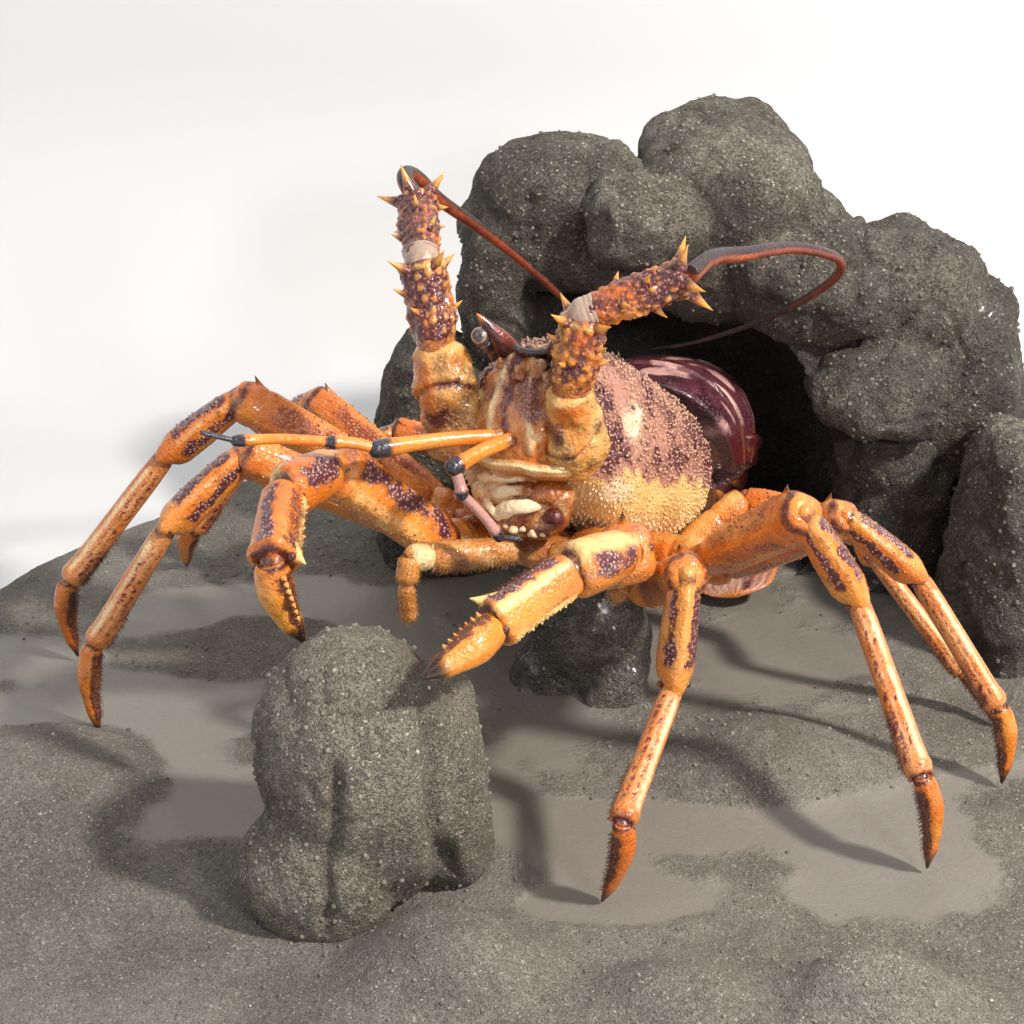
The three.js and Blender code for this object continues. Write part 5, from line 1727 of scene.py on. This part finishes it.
@dataclass
class Abdomen:
    """The tail: six smooth rings round a curl, with hooked side lobes."""

    centre: tuple = (-140, 44)
    edges: tuple = (37, 62, 96, 130, 162, 192, 222)
    radius: tuple = ((37, 78), (62, 69), (96, 66), (130, 62), (162, 60), (192, 60), (222, 56))
    half_width: tuple = ((37, 46), (62, 50), (96, 52), (130, 50), (162, 45), (192, 38), (222, 30))
    inner: float = 12.0
    hump: float = 0.03
    belly: float = 6.0
    rows: int = 46
    around: int = 150

    def build_ring(self, index: int, shop: Workshop) -> None:
        """Makes one ring and its side lobes."""
        s_angle = np.linspace(0, 2 * np.pi, self.around, endpoint=False)[None]
        t = np.concatenate([[0, 0.01, 0.03, 0.06], np.linspace(0.09, 0.91, self.rows),
                            [0.94, 0.97, 0.99, 1.0]])
        degrees = self.edges[index] + 0.2 + (self.edges[index + 1] - self.edges[index] - 0.4) * t
        turn = np.radians(degrees)[:, None]
        c, s = np.cos(s_angle), np.sin(s_angle)
        outer = (along(self.radius, degrees) * (1 - self.hump * (1 - t)))[:, None]
        bow = (0.9 * bump(t, 0.9, 0.05) - 1.3 * bump(t, 0.78, 0.05))[:, None]
        lip = rounded(t, -0.004, 1.004, 0.05)[:, None]
        seen = np.clip(s, 0, 1)
        depth = np.where(s > 0, (outer - self.inner) * np.abs(s) ** 0.8, self.belly * s)
        r = self.inner + (depth + (bow - 1.0) * seen) * (0.9 + 0.1 * lip)
        half = along(self.half_width, degrees)[:, None]
        y = np.sign(c) * np.abs(c) ** 0.86 * half * (0.9 + 0.1 * lip) * 0.985
        grid = on_body(self.centre[0] + r * np.cos(turn), -y, self.centre[1] + r * np.sin(turn))
        body = np.stack([r * np.cos(turn) + 0 * y, y, r * np.sin(turn) + 0 * y], axis=-1)
        streak = noise(np.stack([turn * 60 + 0.3 * y, y * 0.5, 0 * y], axis=-1), 7, 3 + index, 2)
        edge = bump(t, 0.95, 0.035)[:, None]
        teeth = 0.5 + 0.5 * np.sin(y * 2.1)
        low = step(s, 0.5, 0.1) * (s > -0.2)
        surface = Surface()
        pale = 0.95 * step(streak, -0.15, 0.4) * step(s, 0.2, 0.5) + 0.5 * edge * teeth * seen
        surface.grid(grid, dark=0.42 + 0.35 * noise(body, 20, 5, 2), pale=np.clip(pale, 0, 1),
                     deep=0.75 * low, tip=0.3 * low * step(t, 0.7, 1.0)[:, None])
        for side in (1, -1) if index else ():
            mid = math.radians((self.edges[index] + self.edges[index + 1]) / 2 + 3)
            out = float(along(self.half_width, math.degrees(mid))) * 0.93
            base = self.inner + 9
            for turn_by, long in ((0.0, 13.0), (-0.11, 8.0)):
                a = mid + turn_by
                root, tip = (on_body(self.centre[0] + reach * math.cos(a), side * aside,
                                     self.centre[1] + reach * math.sin(a))
                             for reach, aside in ((base + 6, out), (base - long, out - 1.5)))
                surface.thorn(root, tip, 6.0, LEFTWARD * side * 3.0, 16, deep=0.8)
        shop.piece(f"abdomen_{index + 1}", surface, ABDOMEN, [f"abdomen_{index + 1}"])

    def build(self, shop: Workshop) -> None:
        """Makes all six rings."""
        for index in range(6):
            self.build_ring(index, shop)


@dataclass
class TailFan:
    """The tail fan folded forwards: a middle plate and a side plate on each side."""

    telson: tuple = ((-188, 0, 7, 17), (-170, 0, -3, 20), (-150, 0, -14, 20), (-132, 0, -23, 15))
    uropods: tuple = ((-186, 22, 9, 9), (-168, 38, 1, 20), (-150, 50, -8, 25), (-131, 56, -20, 18))
    spread: tuple = (-0.45, 0.72, 0.5)
    thickness: float = 3.0
    rings: int = 90
    around: int = 120

    def plate(self, rows: tuple, side: int, across: Array) -> Surface:
        """One plate with fine ribs that fan out, a dark stripe and a serrated edge."""
        table = np.array(rows, float)
        table[:, 1] *= side
        path = spline(body_points(table[:, :3]), self.rings)
        t = np.linspace(0, 1, self.rings)
        wide = np.interp(t, np.linspace(0, 1, len(table)), table[:, 3]) * rounded(t * 66, -0.1, 66.1, 9)
        angle = degrees_around(self.around)
        across_share = np.cos(np.radians(angle))
        edge = np.abs(across_share) ** 30
        thin = self.thickness / 2 * (0.75 + 0.25 * np.cos(t * 1.4))
        grid = loft(path, wide * 0.985, thin, across, self.around)
        middle = path[:, None]
        teeth = 1 + 0.02 * np.sin(t * 160)[:, None] * (np.abs(across_share) > 0.97)
        grid = middle + (grid - middle) * teeth[..., None]
        up = np.cross(unit(np.gradient(path, axis=0)), unit(across))
        ribs = 0.28 * np.sin(across_share * 30) * np.sign(np.sin(np.radians(angle)))
        grid = grid + up[:, None] * ribs[..., None] * (1 - edge)[..., None]
        surface = Surface()
        stripe = bump(across_share, 0.35 * side, 0.2)
        rim = np.maximum(step(np.abs(across_share), 0.86, 0.97), step(t, 0.93, 0.99)[:, None])
        surface.grid(grid, dark=0.75 * stripe * step(t, 0.15, 0.4)[:, None], pale=0.35 * (1 - stripe),
                     tip=0.85 * rim)
        return surface

    def build(self, shop: Workshop) -> None:
        """Makes the plates."""
        telson = self.plate(self.telson, 1, LEFTWARD)
        shop.piece("telson", telson, FAN, ["telson"])
        ahead, out, up = self.spread
        for side in Side:
            across = LEFTWARD * out + UPWARD * up * side.value + FORWARD * ahead * side.value
            plate = self.plate(self.uropods, side.value, across)
            shop.piece(f"uropods_{side.word}", plate, FAN, [f"uropods_{side.word}"])


class Length(Enum):
    """The five lengths of a leg, from the body outwards."""

    ISCHIUM = 0
    MERUS = 1
    CARPUS = 2
    PROPODUS = 3
    DACTYL = 4


# Each pair's root, forward and outward, and the reach and the half width of its five lengths
LEG_PAIRS = {
    1: ((45, 26), (35, 78, 40, 44, 43), (13, 13.5, 12.5, 12.5, 9.5)),
    2: ((23, 31), (42, 98, 53, 74, 46), (12, 11, 9, 6.8, 6.2)),
    3: ((0, 36), (45, 110, 52, 88, 47), (12, 11.5, 9, 7, 6.4)),
    4: ((-22, 40), (43, 94, 47, 74, 40), (11, 10, 8.2, 6.4, 6)),
    5: ((-43, 44), (48, 66, 30, 76, 33), (9.5, 8.5, 7, 5.6, 5)),
}
# The heading and the lift of each length, in degrees
LEG_POSES = {
    (Side.LEFT, 1): ((-74, 12), (-88, 30), (-131, 5), (-144, -18), (-133, -12)),
    (Side.LEFT, 2): ((-67, -2), (-84, 29), (-128, -82), (-113, -29), (134, -76)),
    (Side.LEFT, 3): ((-41, 14), (-68, 34), (4, -58), (-69, -42), (-5, -83)),
    (Side.LEFT, 4): ((-36, 8), (-52, 35), (-8, -39), (-26, -54), (-41, -82)),
    (Side.LEFT, 5): ((23, 34), (-33, -2), (-82, -6), (-8, -52), (-45, -43)),
    (Side.RIGHT, 1): ((-132, 10), (-153, 42), (-120, 2), (-93, -21), (13, -73)),
    (Side.RIGHT, 2): ((-166, 11), (-173, 27), (-152, -37), (-179, -58), (-86, -79)),
    (Side.RIGHT, 3): ((177, 21), (175, 30), (179, -39), (-175, -52), (88, -84)),
    (Side.RIGHT, 4): ((150, 8), (152, 30), (153, -40), (165, -54), (112, -55)),
    (Side.RIGHT, 5): ((99, 30), (167, 11), (-156, -26), (169, -44), (-64, -60)),
}
# The share of its girth that each length has at shares of its reach
LEG_PROFILES = {
    Length.ISCHIUM: ((-0.2, 0.95), (0.3, 1.05), (0.88, 0.95), (1.0, 0.88)),
    Length.MERUS: ((0.0, 0.78), (0.06, 0.82), (0.2, 0.95), (0.9, 1.06), (0.98, 0.98), (1.04, 0.74)),
    Length.CARPUS: ((-0.1, 0.66), (0.0, 0.74), (0.2, 0.95), (0.55, 1.08), (0.85, 1.1), (1.0, 0.9)),
    Length.PROPODUS: ((-0.04, 0.7), (0.06, 0.86), (0.2, 0.92), (0.8, 0.96), (0.93, 1.04), (1.0, 0.9)),
    Length.DACTYL: ((-0.04, 0.72), (0.1, 0.95), (0.3, 1), (0.75, 0.62), (1, 0.12)),
}


class LegSkin(NamedTuple):
    """Where the points of one length of a leg lie on it."""

    t: Array        # share of the length, as a column
    angle: Array    # degrees round it, as a row
    wander: Array   # the same with noise, for ragged edges
    s: Array        # millimetres along it
    fine: Array     # height of its fine granules


@dataclass
class Leg:
    """A walking leg: five lengths from the breastplate to the claw tip, bent at their joints."""

    side: Side
    pair: int
    around: int = 52
    row: float = 1.1
    flatness: float = 0.93

    def __post_init__(self) -> None:
        """Works out where the joints are and how each length is turned."""
        root, self.reach, self.girth = LEG_PAIRS[self.pair]
        self.joints = [on_body(root[0], root[1] * self.side.value, 0)]
        for (heading, lift), reach in zip(LEG_POSES[self.side, self.pair], self.reach):
            h, v = math.radians(heading), math.radians(lift)
            way = np.array([math.cos(v) * math.cos(h), math.cos(v) * math.sin(h), math.sin(v)])
            self.joints.append(self.joints[-1] + way * reach)
        now = level_side(self.joints[0], self.joints[1])
        self.ways, self.sides, self.ups = [], [], []
        for k in range(5):
            ahead = unit(self.joints[k + 1] - self.joints[k])
            now = unit(now - ahead * (now @ ahead))
            self.ways.append(ahead)
            self.sides.append(now)
            self.ups.append(np.cross(ahead, now))
        self.out = float(self.side.value)
        self.seed = self.pair * 7 + self.side.value
        self.claw = self.pair == 1

    def facing(self, length: Length, x: float, y: float, z: float) -> float:
        """The angle round a length that faces a way in the world; x runs outwards, away from the body."""
        way = np.array([x * self.out, y, z])
        k = length.value
        return math.degrees(math.atan2(way @ self.ups[k], way @ self.sides[k]))

    def outward(self, length: Length, angle: float) -> Array:
        """The world direction of an angle round a length."""
        k = length.value
        return self.sides[k] * math.cos(math.radians(angle)) + self.ups[k] * math.sin(math.radians(angle))

    def shape(self, length: Length) -> Surface:
        """The surface of one length."""
        k = length.value
        start, end = self.joints[k:k + 2]
        reach, girth = self.reach[k], self.girth[k]
        rows = LEG_PROFILES[length]
        s = stretch(rows[0][0] * reach, rows[-1][0] * reach, self.row)
        t = (s / reach)[:, None]
        tipped = length is Length.DACTYL
        share = along(rows, s / reach) * rounded(s, s[0] - 0.1, s[-1] + 0.1, 1.5 if tipped else 2.4)
        angle = degrees_around(self.around)
        path = start + (end - start) * t
        if tipped:
            bow = self.outward(length, self.facing(length, 1, 0, 0.2))
            path = path + bow * (0.075 * reach * np.sin(np.pi * np.clip(t, 0, 1) ** 0.8))
        fine = domes(s[:, None], angle, 2 * math.pi * girth, 2.0, self.seed + k)
        plain = loft(path, girth * share, girth * share, self.sides[k], self.around)
        wander = angle + 15 * noise(plain, 6, self.seed + k, 3)
        dress = (self.ischium, self.merus, self.carpus, self.propodus, self.dactyl)[k]
        masks, swell = dress(LegSkin(t, angle, wander, s, fine))
        swell = np.broadcast_to(swell, (len(s), self.around))
        grid = loft(path, girth * self.flatness * share, girth * share, self.sides[k], self.around, swell)
        if length is Length.CARPUS:
            tongue = turned(angle, self.facing(length, 0.15, -1, 0.35), 50) - 0.35
            grid = grid + self.ways[k] * (0.11 * reach * tongue * step(t, 0.72, 1.0))[..., None]
        mottle = noise(grid, 9, self.seed + k, 2)
        masks = {name: np.clip(np.broadcast_to(m, swell.shape), 0, 1) for name, m in masks.items()}
        ends = 0.42 * bump(t, 0, 0.09) + 0.36 * bump(t, 1, 0.06)
        masks["dark"] = np.clip(np.maximum(masks["dark"] * (0.95 + 0.4 * mottle), ends), 0, 1)
        surface = Surface()
        surface.grid(grid, self.ways[k] * 0.8, **masks)
        return surface

    def ischium(self, skin: LegSkin) -> tuple[dict[str, Array], Array]:
        """Masks and swelling of the first length."""
        t, angle, wander, _, fine = skin
        front = self.facing(Length.ISCHIUM, 0.1, -0.8, 0.6)
        swell = 0.97 + 0.06 * bump(t, 0.84, 0.05) + 0.02 * fine - 0.08 * bump(t, 0.62, 0.035)
        swell = swell - 0.03 * np.cos(np.radians(4 * (angle - front)))
        return {"dark": 0.62 * belt(wander, front + 30, 34, 14) * step(t, 0.3, 0.6) * step(t, 0.84, 0.76),
                "pale": 0.5 * belt(angle, front - 60, 50) + 0.35 * bump(t, 0.84, 0.08),
                "deep": 0.5 * bump(t, 0.6, 0.02)}, swell

    def merus(self, skin: LegSkin) -> tuple[dict[str, Array], Array]:
        """Masks and swelling of the long second length."""
        t, angle, wander, s, fine = skin
        front = self.facing(Length.MERUS, 0.0, -0.75, 0.65)
        body = step(t, 0.04, 0.12) * step(t, 0.95, 0.88)
        saw = 0.5 + 0.5 * np.sin(s[:, None] * 2 * math.pi / 3.1)
        edges = turned(angle, front - 45, 9) + turned(angle, front + 45, 9) + turned(angle, front + 135, 9)
        swell = 0.96 + 0.055 * edges * (0.6 + 0.6 * saw) * body
        swell = swell - 0.05 * np.cos(np.radians(4 * (angle - front)))
        swell = swell + 0.06 * bump(t, 0.955, 0.03) - 0.05 * bump(t, 0.895, 0.016) + 0.025 * fine * body
        if self.claw:
            under = self.facing(Length.MERUS, -0.35, -0.7, -0.75)
            low = belt(angle, under, 34, 12)
            dark = 0.85 * belt(wander, self.facing(Length.MERUS, 0.3, -0.55, 0.9), 24, 22) * body
            wings = belt(angle, self.facing(Length.MERUS, 0.0, -1, 0.0), 70, 20) * bump(t, 0.93, 0.06)
            swell = swell + 0.08 * domes(s[:, None], angle, 2 * math.pi * self.girth[1], 4.2, 8) * low * body
            swell = swell + 0.12 * wings
            return {"dark": dark, "pale": 0.45 * low * step(t, 0.1, 0.3) * step(t, 0.95, 0.8) + 0.2 * wings,
                    "deep": 0.8 * bump(t, 0.02, 0.03), "spiny": 0.8 * low * body}, swell
        band = np.maximum(belt(wander, front, 30, 16), 0.9 * belt(wander, front + 90, 26, 16))
        band = band * (1 - 0.9 * np.clip(edges, 0, 1)) * step(t, 0.08, 0.3) * step(t, 0.9, 0.78)
        strength = 0.7 if self.side is Side.LEFT else 0.85
        pale = 0.4 * belt(wander, front - 90, 26, 20) * body + 0.3 * edges * body
        return {"dark": strength * band, "pale": pale,
                "deep": 0.7 * bump(t, 1.0, 0.03) + 0.25 * bump(t, 0.895, 0.014),
                "spiny": 0.7 * edges * body + 0.25 * band}, swell

    def carpus(self, skin: LegSkin) -> tuple[dict[str, Array], Array]:
        """Masks and swelling of the knee length."""
        t, angle, wander, _, fine = skin
        body = step(t, 0.04, 0.14) * step(t, 0.84, 0.72)
        if self.claw:
            right = self.side is Side.RIGHT
            top, light = (((-0.2, -1, 0.5), (0.7, -0.7, 0.2)) if right
                          else ((0.55, -0.8, 0.25), (-0.4, -0.7, 0.65)))
            patch = belt(wander, self.facing(Length.CARPUS, *top), 28, 16) * bump(t, 0.5, 0.33) ** 0.6
            pale = belt(angle, self.facing(Length.CARPUS, *light), 38, 14)
            swell = 0.95 + 0.06 * patch + 0.02 * fine * patch
            swell = swell - 0.05 * bump(t, 0.86, 0.03) + 0.05 * step(t, 0.86, 0.9)
            return {"dark": 1.15 * patch, "pale": 0.7 * pale * (1 - patch) + 0.2 * bump(t, 0.95, 0.1),
                    "deep": 0.7 * bump(t, 0.99, 0.02) + 0.5 * bump(t, 0.0, 0.06), "spiny": 0.5 * patch}, swell
        front = self.facing(Length.CARPUS, 0.15, -1, 0.35)
        ridge = turned(angle, front, 11)
        outer = 1 if (self.facing(Length.CARPUS, 1, 0, 0) - front + 360) % 360 < 180 else -1
        bands = belt(wander, front + outer * 54, 34, 10) + belt(wander, front - outer * 46, 19, 12)
        bands = np.clip(bands, 0, 1)
        swell = 0.93 + 0.05 * ridge * body + 0.035 * fine * body - 0.03 * bump(t, 0.05, 0.03)
        swell = swell + 0.075 * np.cos(np.radians(3 * (angle - front)))
        return {"dark": 1.1 * bands * body,
                "pale": 0.25 * turned(angle, front + 180, 60) + 0.4 * ridge * body,
                "deep": 0.6 * bump(t, 0.02, 0.035), "spiny": 0.6 * bands * body + 0.3 * ridge * body}, swell

    def propodus(self, skin: LegSkin) -> tuple[dict[str, Array], Array]:
        """Masks and swelling of the shank."""
        t, angle, wander, s, fine = skin
        body = step(t, 0.06, 0.14) * step(t, 0.96, 0.88)
        where = Length.PROPODUS
        if self.claw:
            right = self.side is Side.RIGHT
            ways = (((0.25, -1, 0.1), (-0.5, -1, 0), (-1.2, -0.35, 0), (1, -0.6, 0)) if right else
                    ((-0.75, -0.3, 0.75), (-1.0, 0.3, 0.45), (0.75, -0.6, -0.55), (-0.25, -0.8, 0.6)))
            faces = [self.facing(where, *way) for way in ways]
            dark, hair = belt(wander, faces[0], 22 if right else 25, 12), belt(wander, faces[1], 26, 14)
            margin, smooth = belt(angle, faces[2], 18, 8), belt(angle, faces[3], 15, 10)
            granules = domes(s[:, None], angle, 2 * math.pi * self.girth[3], 3.4, 6)
            swell = 0.94 + 0.1 * granules * margin * body + 0.03 * smooth + 0.02 * fine * (1 - smooth)
            swell = swell + 0.05 * bump(t, 0.05, 0.05) - 0.04 * np.cos(np.radians(4 * (angle - 20)))
            return {"dark": (1.05 * dark + 0.6 * hair) * body,
                    "pale": 0.9 * margin * body + (0.1 if right else 0.7) * smooth,
                    "deep": 0.8 * bump(t, 0.985, 0.02) + 0.5 * bump(t, 0.0, 0.03), "hair": hair * body,
                    "spiny": margin * body + 0.35 * dark * body}, swell
        front = self.facing(where, 0.0, -1, 0.3)
        outer = 1 if (self.facing(where, 1, 0, 0) - front + 180) % 360 > 180 else -1
        lines = turned(wander, front + outer * 2, 7.5) + 1.1 * turned(wander, front - outer * 36, 11)
        lines = np.clip(lines, 0, 1)
        dash = step(np.sin(s[:, None] * 1.7 + 2.5 * np.sin(s[:, None] * 0.41 + angle * 0.06)), -0.9, 0.1)
        inner = self.facing(where, -1, -0.45, -0.3)
        pad = turned(angle, inner, 34)
        swell = 0.95 + 0.03 * turned(angle, front + outer * 18, 12) - 0.025 * lines * body + 0.015 * fine
        swell = swell + 0.07 * bump(t, 0.945, 0.035) + 0.1 * pad * bump(t, 0.8, 0.13)
        hair = pad * step(t, 0.5, 0.72) * step(t, 0.99, 0.93)
        light = belt(angle, front + outer * 30, 16, 16) + 0.5 * belt(angle, front - outer * 14, 8, 10)
        dark = 0.85 * lines * dash * body + 0.35 * bump(t, 0.06, 0.05) + 0.75 * hair
        return {"dark": dark, "pale": 0.7 * light * body,
                "deep": 0.85 * bump(t, 1.0, 0.02) + 0.45 * bump(t, 0.02, 0.03), "hair": hair}, swell

    def dactyl(self, skin: LegSkin) -> tuple[dict[str, Array], Array]:
        """Masks and swelling of the claw tip."""
        t, angle, wander, _, fine = skin
        way = (-1, -0.3, 0.1)
        if self.claw:
            way = (-0.9, -0.65, 0) if self.side is Side.RIGHT else (-0.65, -0.35, 0.75)
        inner = belt(wander, self.facing(Length.DACTYL, *way), 33 if self.claw else 62, 18)
        outer = turned(angle, self.facing(Length.DACTYL, 1, -0.3, 0.3), 24)
        swell = 0.96 + 0.05 * outer + 0.04 * fine * inner - 0.05 * inner
        hair = inner * step(t, 0.03, 0.1) * step(t, 0.93, 0.8)
        point = step(t, 0.68, 0.86) if self.claw else step(t, 0.74, 0.93)
        deep = 0.8 * bump(t, 0.0, 0.025) + 0.4 * bump(t, 0.8, 0.08) * (1 - inner)
        return {"dark": 0.95 * hair, "pale": 0.25 * outer * step(t, 0.3, 0.5), "tip": 0.97 * point,
                "deep": deep, "hair": hair}, swell

    def spines(self, surface: Surface, length: Length) -> None:
        """Adds the few large spines and the hinge knobs of one length."""
        k = length.value
        ahead, side, up = self.ways[k], self.sides[k], self.ups[k]
        end, girth, reach = self.joints[k + 1], self.girth[k], self.reach[k]
        if length is Length.MERUS:
            root = end - ahead * reach * 0.07 + up * girth * 0.8
            surface.thorn(root, root + up * girth * 0.5 + ahead * girth * 0.6, girth * 0.27, -ahead * 1.2, 12)
        if length in (Length.MERUS, Length.CARPUS, Length.PROPODUS):
            for sign in (-1, 1):
                centre = end - ahead * girth * 0.1 + side * sign * girth * 0.72
                surface.ball(centre, (girth * 0.17,) * 3, (10, 14), deep=0.7)
        if self.claw and length is Length.PROPODUS:
            way = (-1, -0.3, 0) if self.out < 0 else (-1, 0, 0.6)
            inward = self.outward(length, self.facing(length, *way))
            root = end - ahead * reach * 0.16 + inward * girth * 0.55
            surface.thorn(root, root + inward * girth * 0.65 + ahead * girth * 0.7, girth * 0.42, 0.0, 16,
                          pale=0.9, tip=0.0)
        if self.claw and length is Length.DACTYL:
            way = (-0.5, -0.9, 0) if self.out < 0 else (-0.6, -0.5, 0.6)
            inward = self.outward(length, self.facing(length, *way))
            for j in range(7):
                t = 0.12 + 0.085 * j
                root = self.joints[k] + ahead * reach * t + inward * girth * (0.8 - 0.5 * t ** 2)
                surface.thorn(root, root + inward * (3.0 - 0.2 * j) + ahead * 0.8, 1.5 - 0.08 * j,
                              pale=0.3, tip=0.0)

    def build(self, shop: Workshop) -> None:
        """Makes the five lengths, the soft joints between them and the bristles."""
        name = f"leg_{self.side.word}_{self.pair}"
        finishes = ((ORANGE, CLAW, CLAW, CLAW, CLAW_TIP) if self.claw else
                    (ORANGE, ORANGE, KNEE, LEG_PALE, DACTYL))
        for length, finish in zip(Length, finishes):
            surface = self.shape(length)
            self.spines(surface, length)
            nodes = {Length.ISCHIUM: [f"{name}_upper"], Length.CARPUS: [f"{name}_lower"]}.get(length, ())
            word = length.name.lower()
            piece = shop.piece(f"{name}_{word}", surface, finish, nodes)
            seed = self.seed * 10 + length.value
            if length in (Length.PROPODUS, Length.DACTYL):
                shop.scatter(f"{name}_{word}_bristles", piece, HAIR, BRISTLE, 0.95, (1.4, 2.8), "hair",
                             seed, 0.45)
            if length in (Length.MERUS, Length.CARPUS) or self.claw and length is Length.PROPODUS:
                shop.scatter(f"{name}_{word}_teeth", piece, GRANULE, finish, 2.2, (0.6, 1.3), "spiny",
                             seed, 0.3)
        soft = Surface()
        for k in range(1, 5):
            girth = min(self.girth[k - 1], self.girth[k]) * 0.6
            soft.ball(self.joints[k], (girth, girth, girth), (18, 26), deep=0.6, dark=0.4)
        shop.piece(f"{name}_joints", soft, KNEE)


# The stage


@dataclass
class Stage:
    """The pale floor and wall, the lights and the camera."""

    wall: float = 0.60
    curve: float = 0.22
    half_width: float = 3.0
    ahead: float = 2.2
    height: float = 2.2
    camera_place: tuple = (-0.021, -1.089, 0.589)
    camera_pitch: float = 23.5
    focal_length: float = 80.5
    paper: tuple[str, str] = ("cfd0d1", "d3d4d5")
    room: tuple = ((0.95, 0.97, 1.0, 1.0), 0.34)    # colour and strength of the light from all round
    lights: tuple = (
        ("key", (0.58, -0.42, 0.7), 2.2, 0.16, 66.0, "fff6ec"),
        ("side", (0.39, -0.83, 0.38), 2.6, 0.3, 19.0, "fbf8ff"),
        ("fill", (-0.75, -0.55, 0.6), 2.2, 1.6, 11.0, "f2f5ff"),
        ("top", (0.0, 0.15, 1.0), 2.0, 1.8, 10.0, "ffffff"),
    )                                               # name, direction, distance, size, power and colour

    def sweep(self) -> None:
        """A floor that curves up into a wall; it is clear when seen from behind."""
        start = self.wall - self.curve
        bend = [(start + self.curve * math.sin(a), self.curve * (1 - math.cos(a)))
                for a in np.linspace(0, math.pi / 2, 14)]
        profile = [(-self.ahead, 0.0), *bend, (self.wall, self.height)]
        points = [(x, y, z) for y, z in profile for x in (-self.half_width, self.half_width)]
        faces = [(2 * k, 2 * k + 1, 2 * k + 3, 2 * k + 2) for k in range(len(profile) - 1)]
        mesh = bpy.data.meshes.new("sweep")
        mesh.from_pydata(points, [], faces)
        mesh.shade_smooth()
        sweep = placed("sweep", mesh)
        paper, graph, shader = new_material("paper")
        tone = graph.mix(graph.cloud(graph.place(), 400.0), *self.paper)
        graph.wire(shader, Roughness=0.9, Base_Color=tone)
        clear = graph.node("ShaderNodeBsdfTransparent")
        seen = graph.node("ShaderNodeMixShader")
        graph.feed(seen.inputs[0], graph.node("ShaderNodeNewGeometry").outputs["Backfacing"])
        graph.feed(seen.inputs[1], shader.outputs[0])
        graph.feed(seen.inputs[2], clear.outputs[0])
        graph.feed(paper.node_tree.nodes["Material Output"].inputs["Surface"], seen.outputs[0])
        mesh.materials.append(paper)

    def light(self, name: str, direction: tuple, distance: float, size: float, power: float, colour: str
              ) -> None:
        """Hangs a square soft light that faces the middle of the model."""
        lamp = bpy.data.lights.new(name, "AREA")
        lamp.size, lamp.energy, lamp.color = size, power, linear(colour)[:3]
        made = placed(name, lamp)
        way = unit(np.array(direction, float))
        made.location = (way * distance + np.array([0, 0, 0.1])).tolist()
        made.rotation_euler = Vector(way.tolist()).to_track_quat("Z", "Y").to_euler()

    def build(self) -> None:
        """Sets up the floor, the lights and the camera."""
        scene = bpy.context.scene
        self.sweep()
        for name, *setting in self.lights:
            self.light(name, *setting)
        scene.view_settings.view_transform = "Standard"
        world = bpy.data.worlds.new("room")
        world.use_nodes = True
        for name, value in zip(("Color", "Strength"), self.room):
            world.node_tree.nodes["Background"].inputs[name].default_value = value
        scene.world = world
        lens = bpy.data.cameras.new("camera")
        lens.lens, lens.sensor_width = self.focal_length, 36.0
        camera = placed("camera", lens)
        camera.location = self.camera_place
        camera.rotation_euler = (math.radians(90 - self.camera_pitch), 0.0, 0.0)
        scene.camera = camera


# Where the stems and whips of the antennae bend
STEM_RIGHT = (on_body(86, -33, 38), on_body(112, -45, 90), on_body(116, -56, 126), on_body(88, -76, 158))
STEM_LEFT = (on_body(86, 26, 38), on_body(116, 27, 78), on_body(130, 33, 110), on_body(120, 76, 134))
WHIP_RIGHT = (STEM_RIGHT[-1], (-83, 19, 264), (-83, 31, 265), (-78, 44, 259), (-68, 62, 243),
              (-48, 86, 221), (-27, 106, 198), (-8, 120, 176), (2, 134, 158), (14, 162, 131), (30, 198, 94))
WHIP_LEFT = (STEM_LEFT[-1], (62, -54, 248), (80, -28, 242), (106, 8, 234), (130, 38, 221), (138, 54, 210),
             (135, 64, 199), (121, 78, 183), (102, 96, 166), (73, 122, 146), (47, 150, 131))


def main() -> None:
    """Builds the whole model, piece by piece."""
    logging.basicConfig(level=logging.INFO, format="%(message)s")
    shop = Workshop()
    Stage().build()
    parts = [
        Ground(), Boulders(), Carapace(), Underside(), Face(),
        Antenna(Side.RIGHT, STEM_RIGHT), Antenna(Side.LEFT, STEM_LEFT),
        Whip(Side.RIGHT, WHIP_RIGHT), Whip(Side.LEFT, WHIP_LEFT),
        Antennule(Side.RIGHT, ((-36, -74, 167), (-93, -98, 170), (-114, -102, 175), (-156, -110, 179),
                               (-172, -112, 184))),
        Antennule(Side.LEFT, ((-32, -76, 166), (-58, -98, 161), (-54, -100, 148), (-37, -98, 126),
                              (-26, -94, 123))),
        Maxilliped(Side.RIGHT, ((-30, -68, 105), (-70, -86, 110), (-79, -94, 114), (-81, -98, 102),
                                (-80, -98, 83))),
        Maxilliped(Side.LEFT, ((-10, -76, 106), (16, -94, 116), (22, -100, 114), (22, -102, 104),
                               (18, -102, 96))),
        Mouth(), Abdomen(), TailFan(),
        *(Leg(side, pair) for side in Side for pair in LEG_PAIRS),
    ]
    for part in parts:
        log.info("building %s", type(part).__name__)
        part.build(shop)


if __name__ == "__main__":
    main()
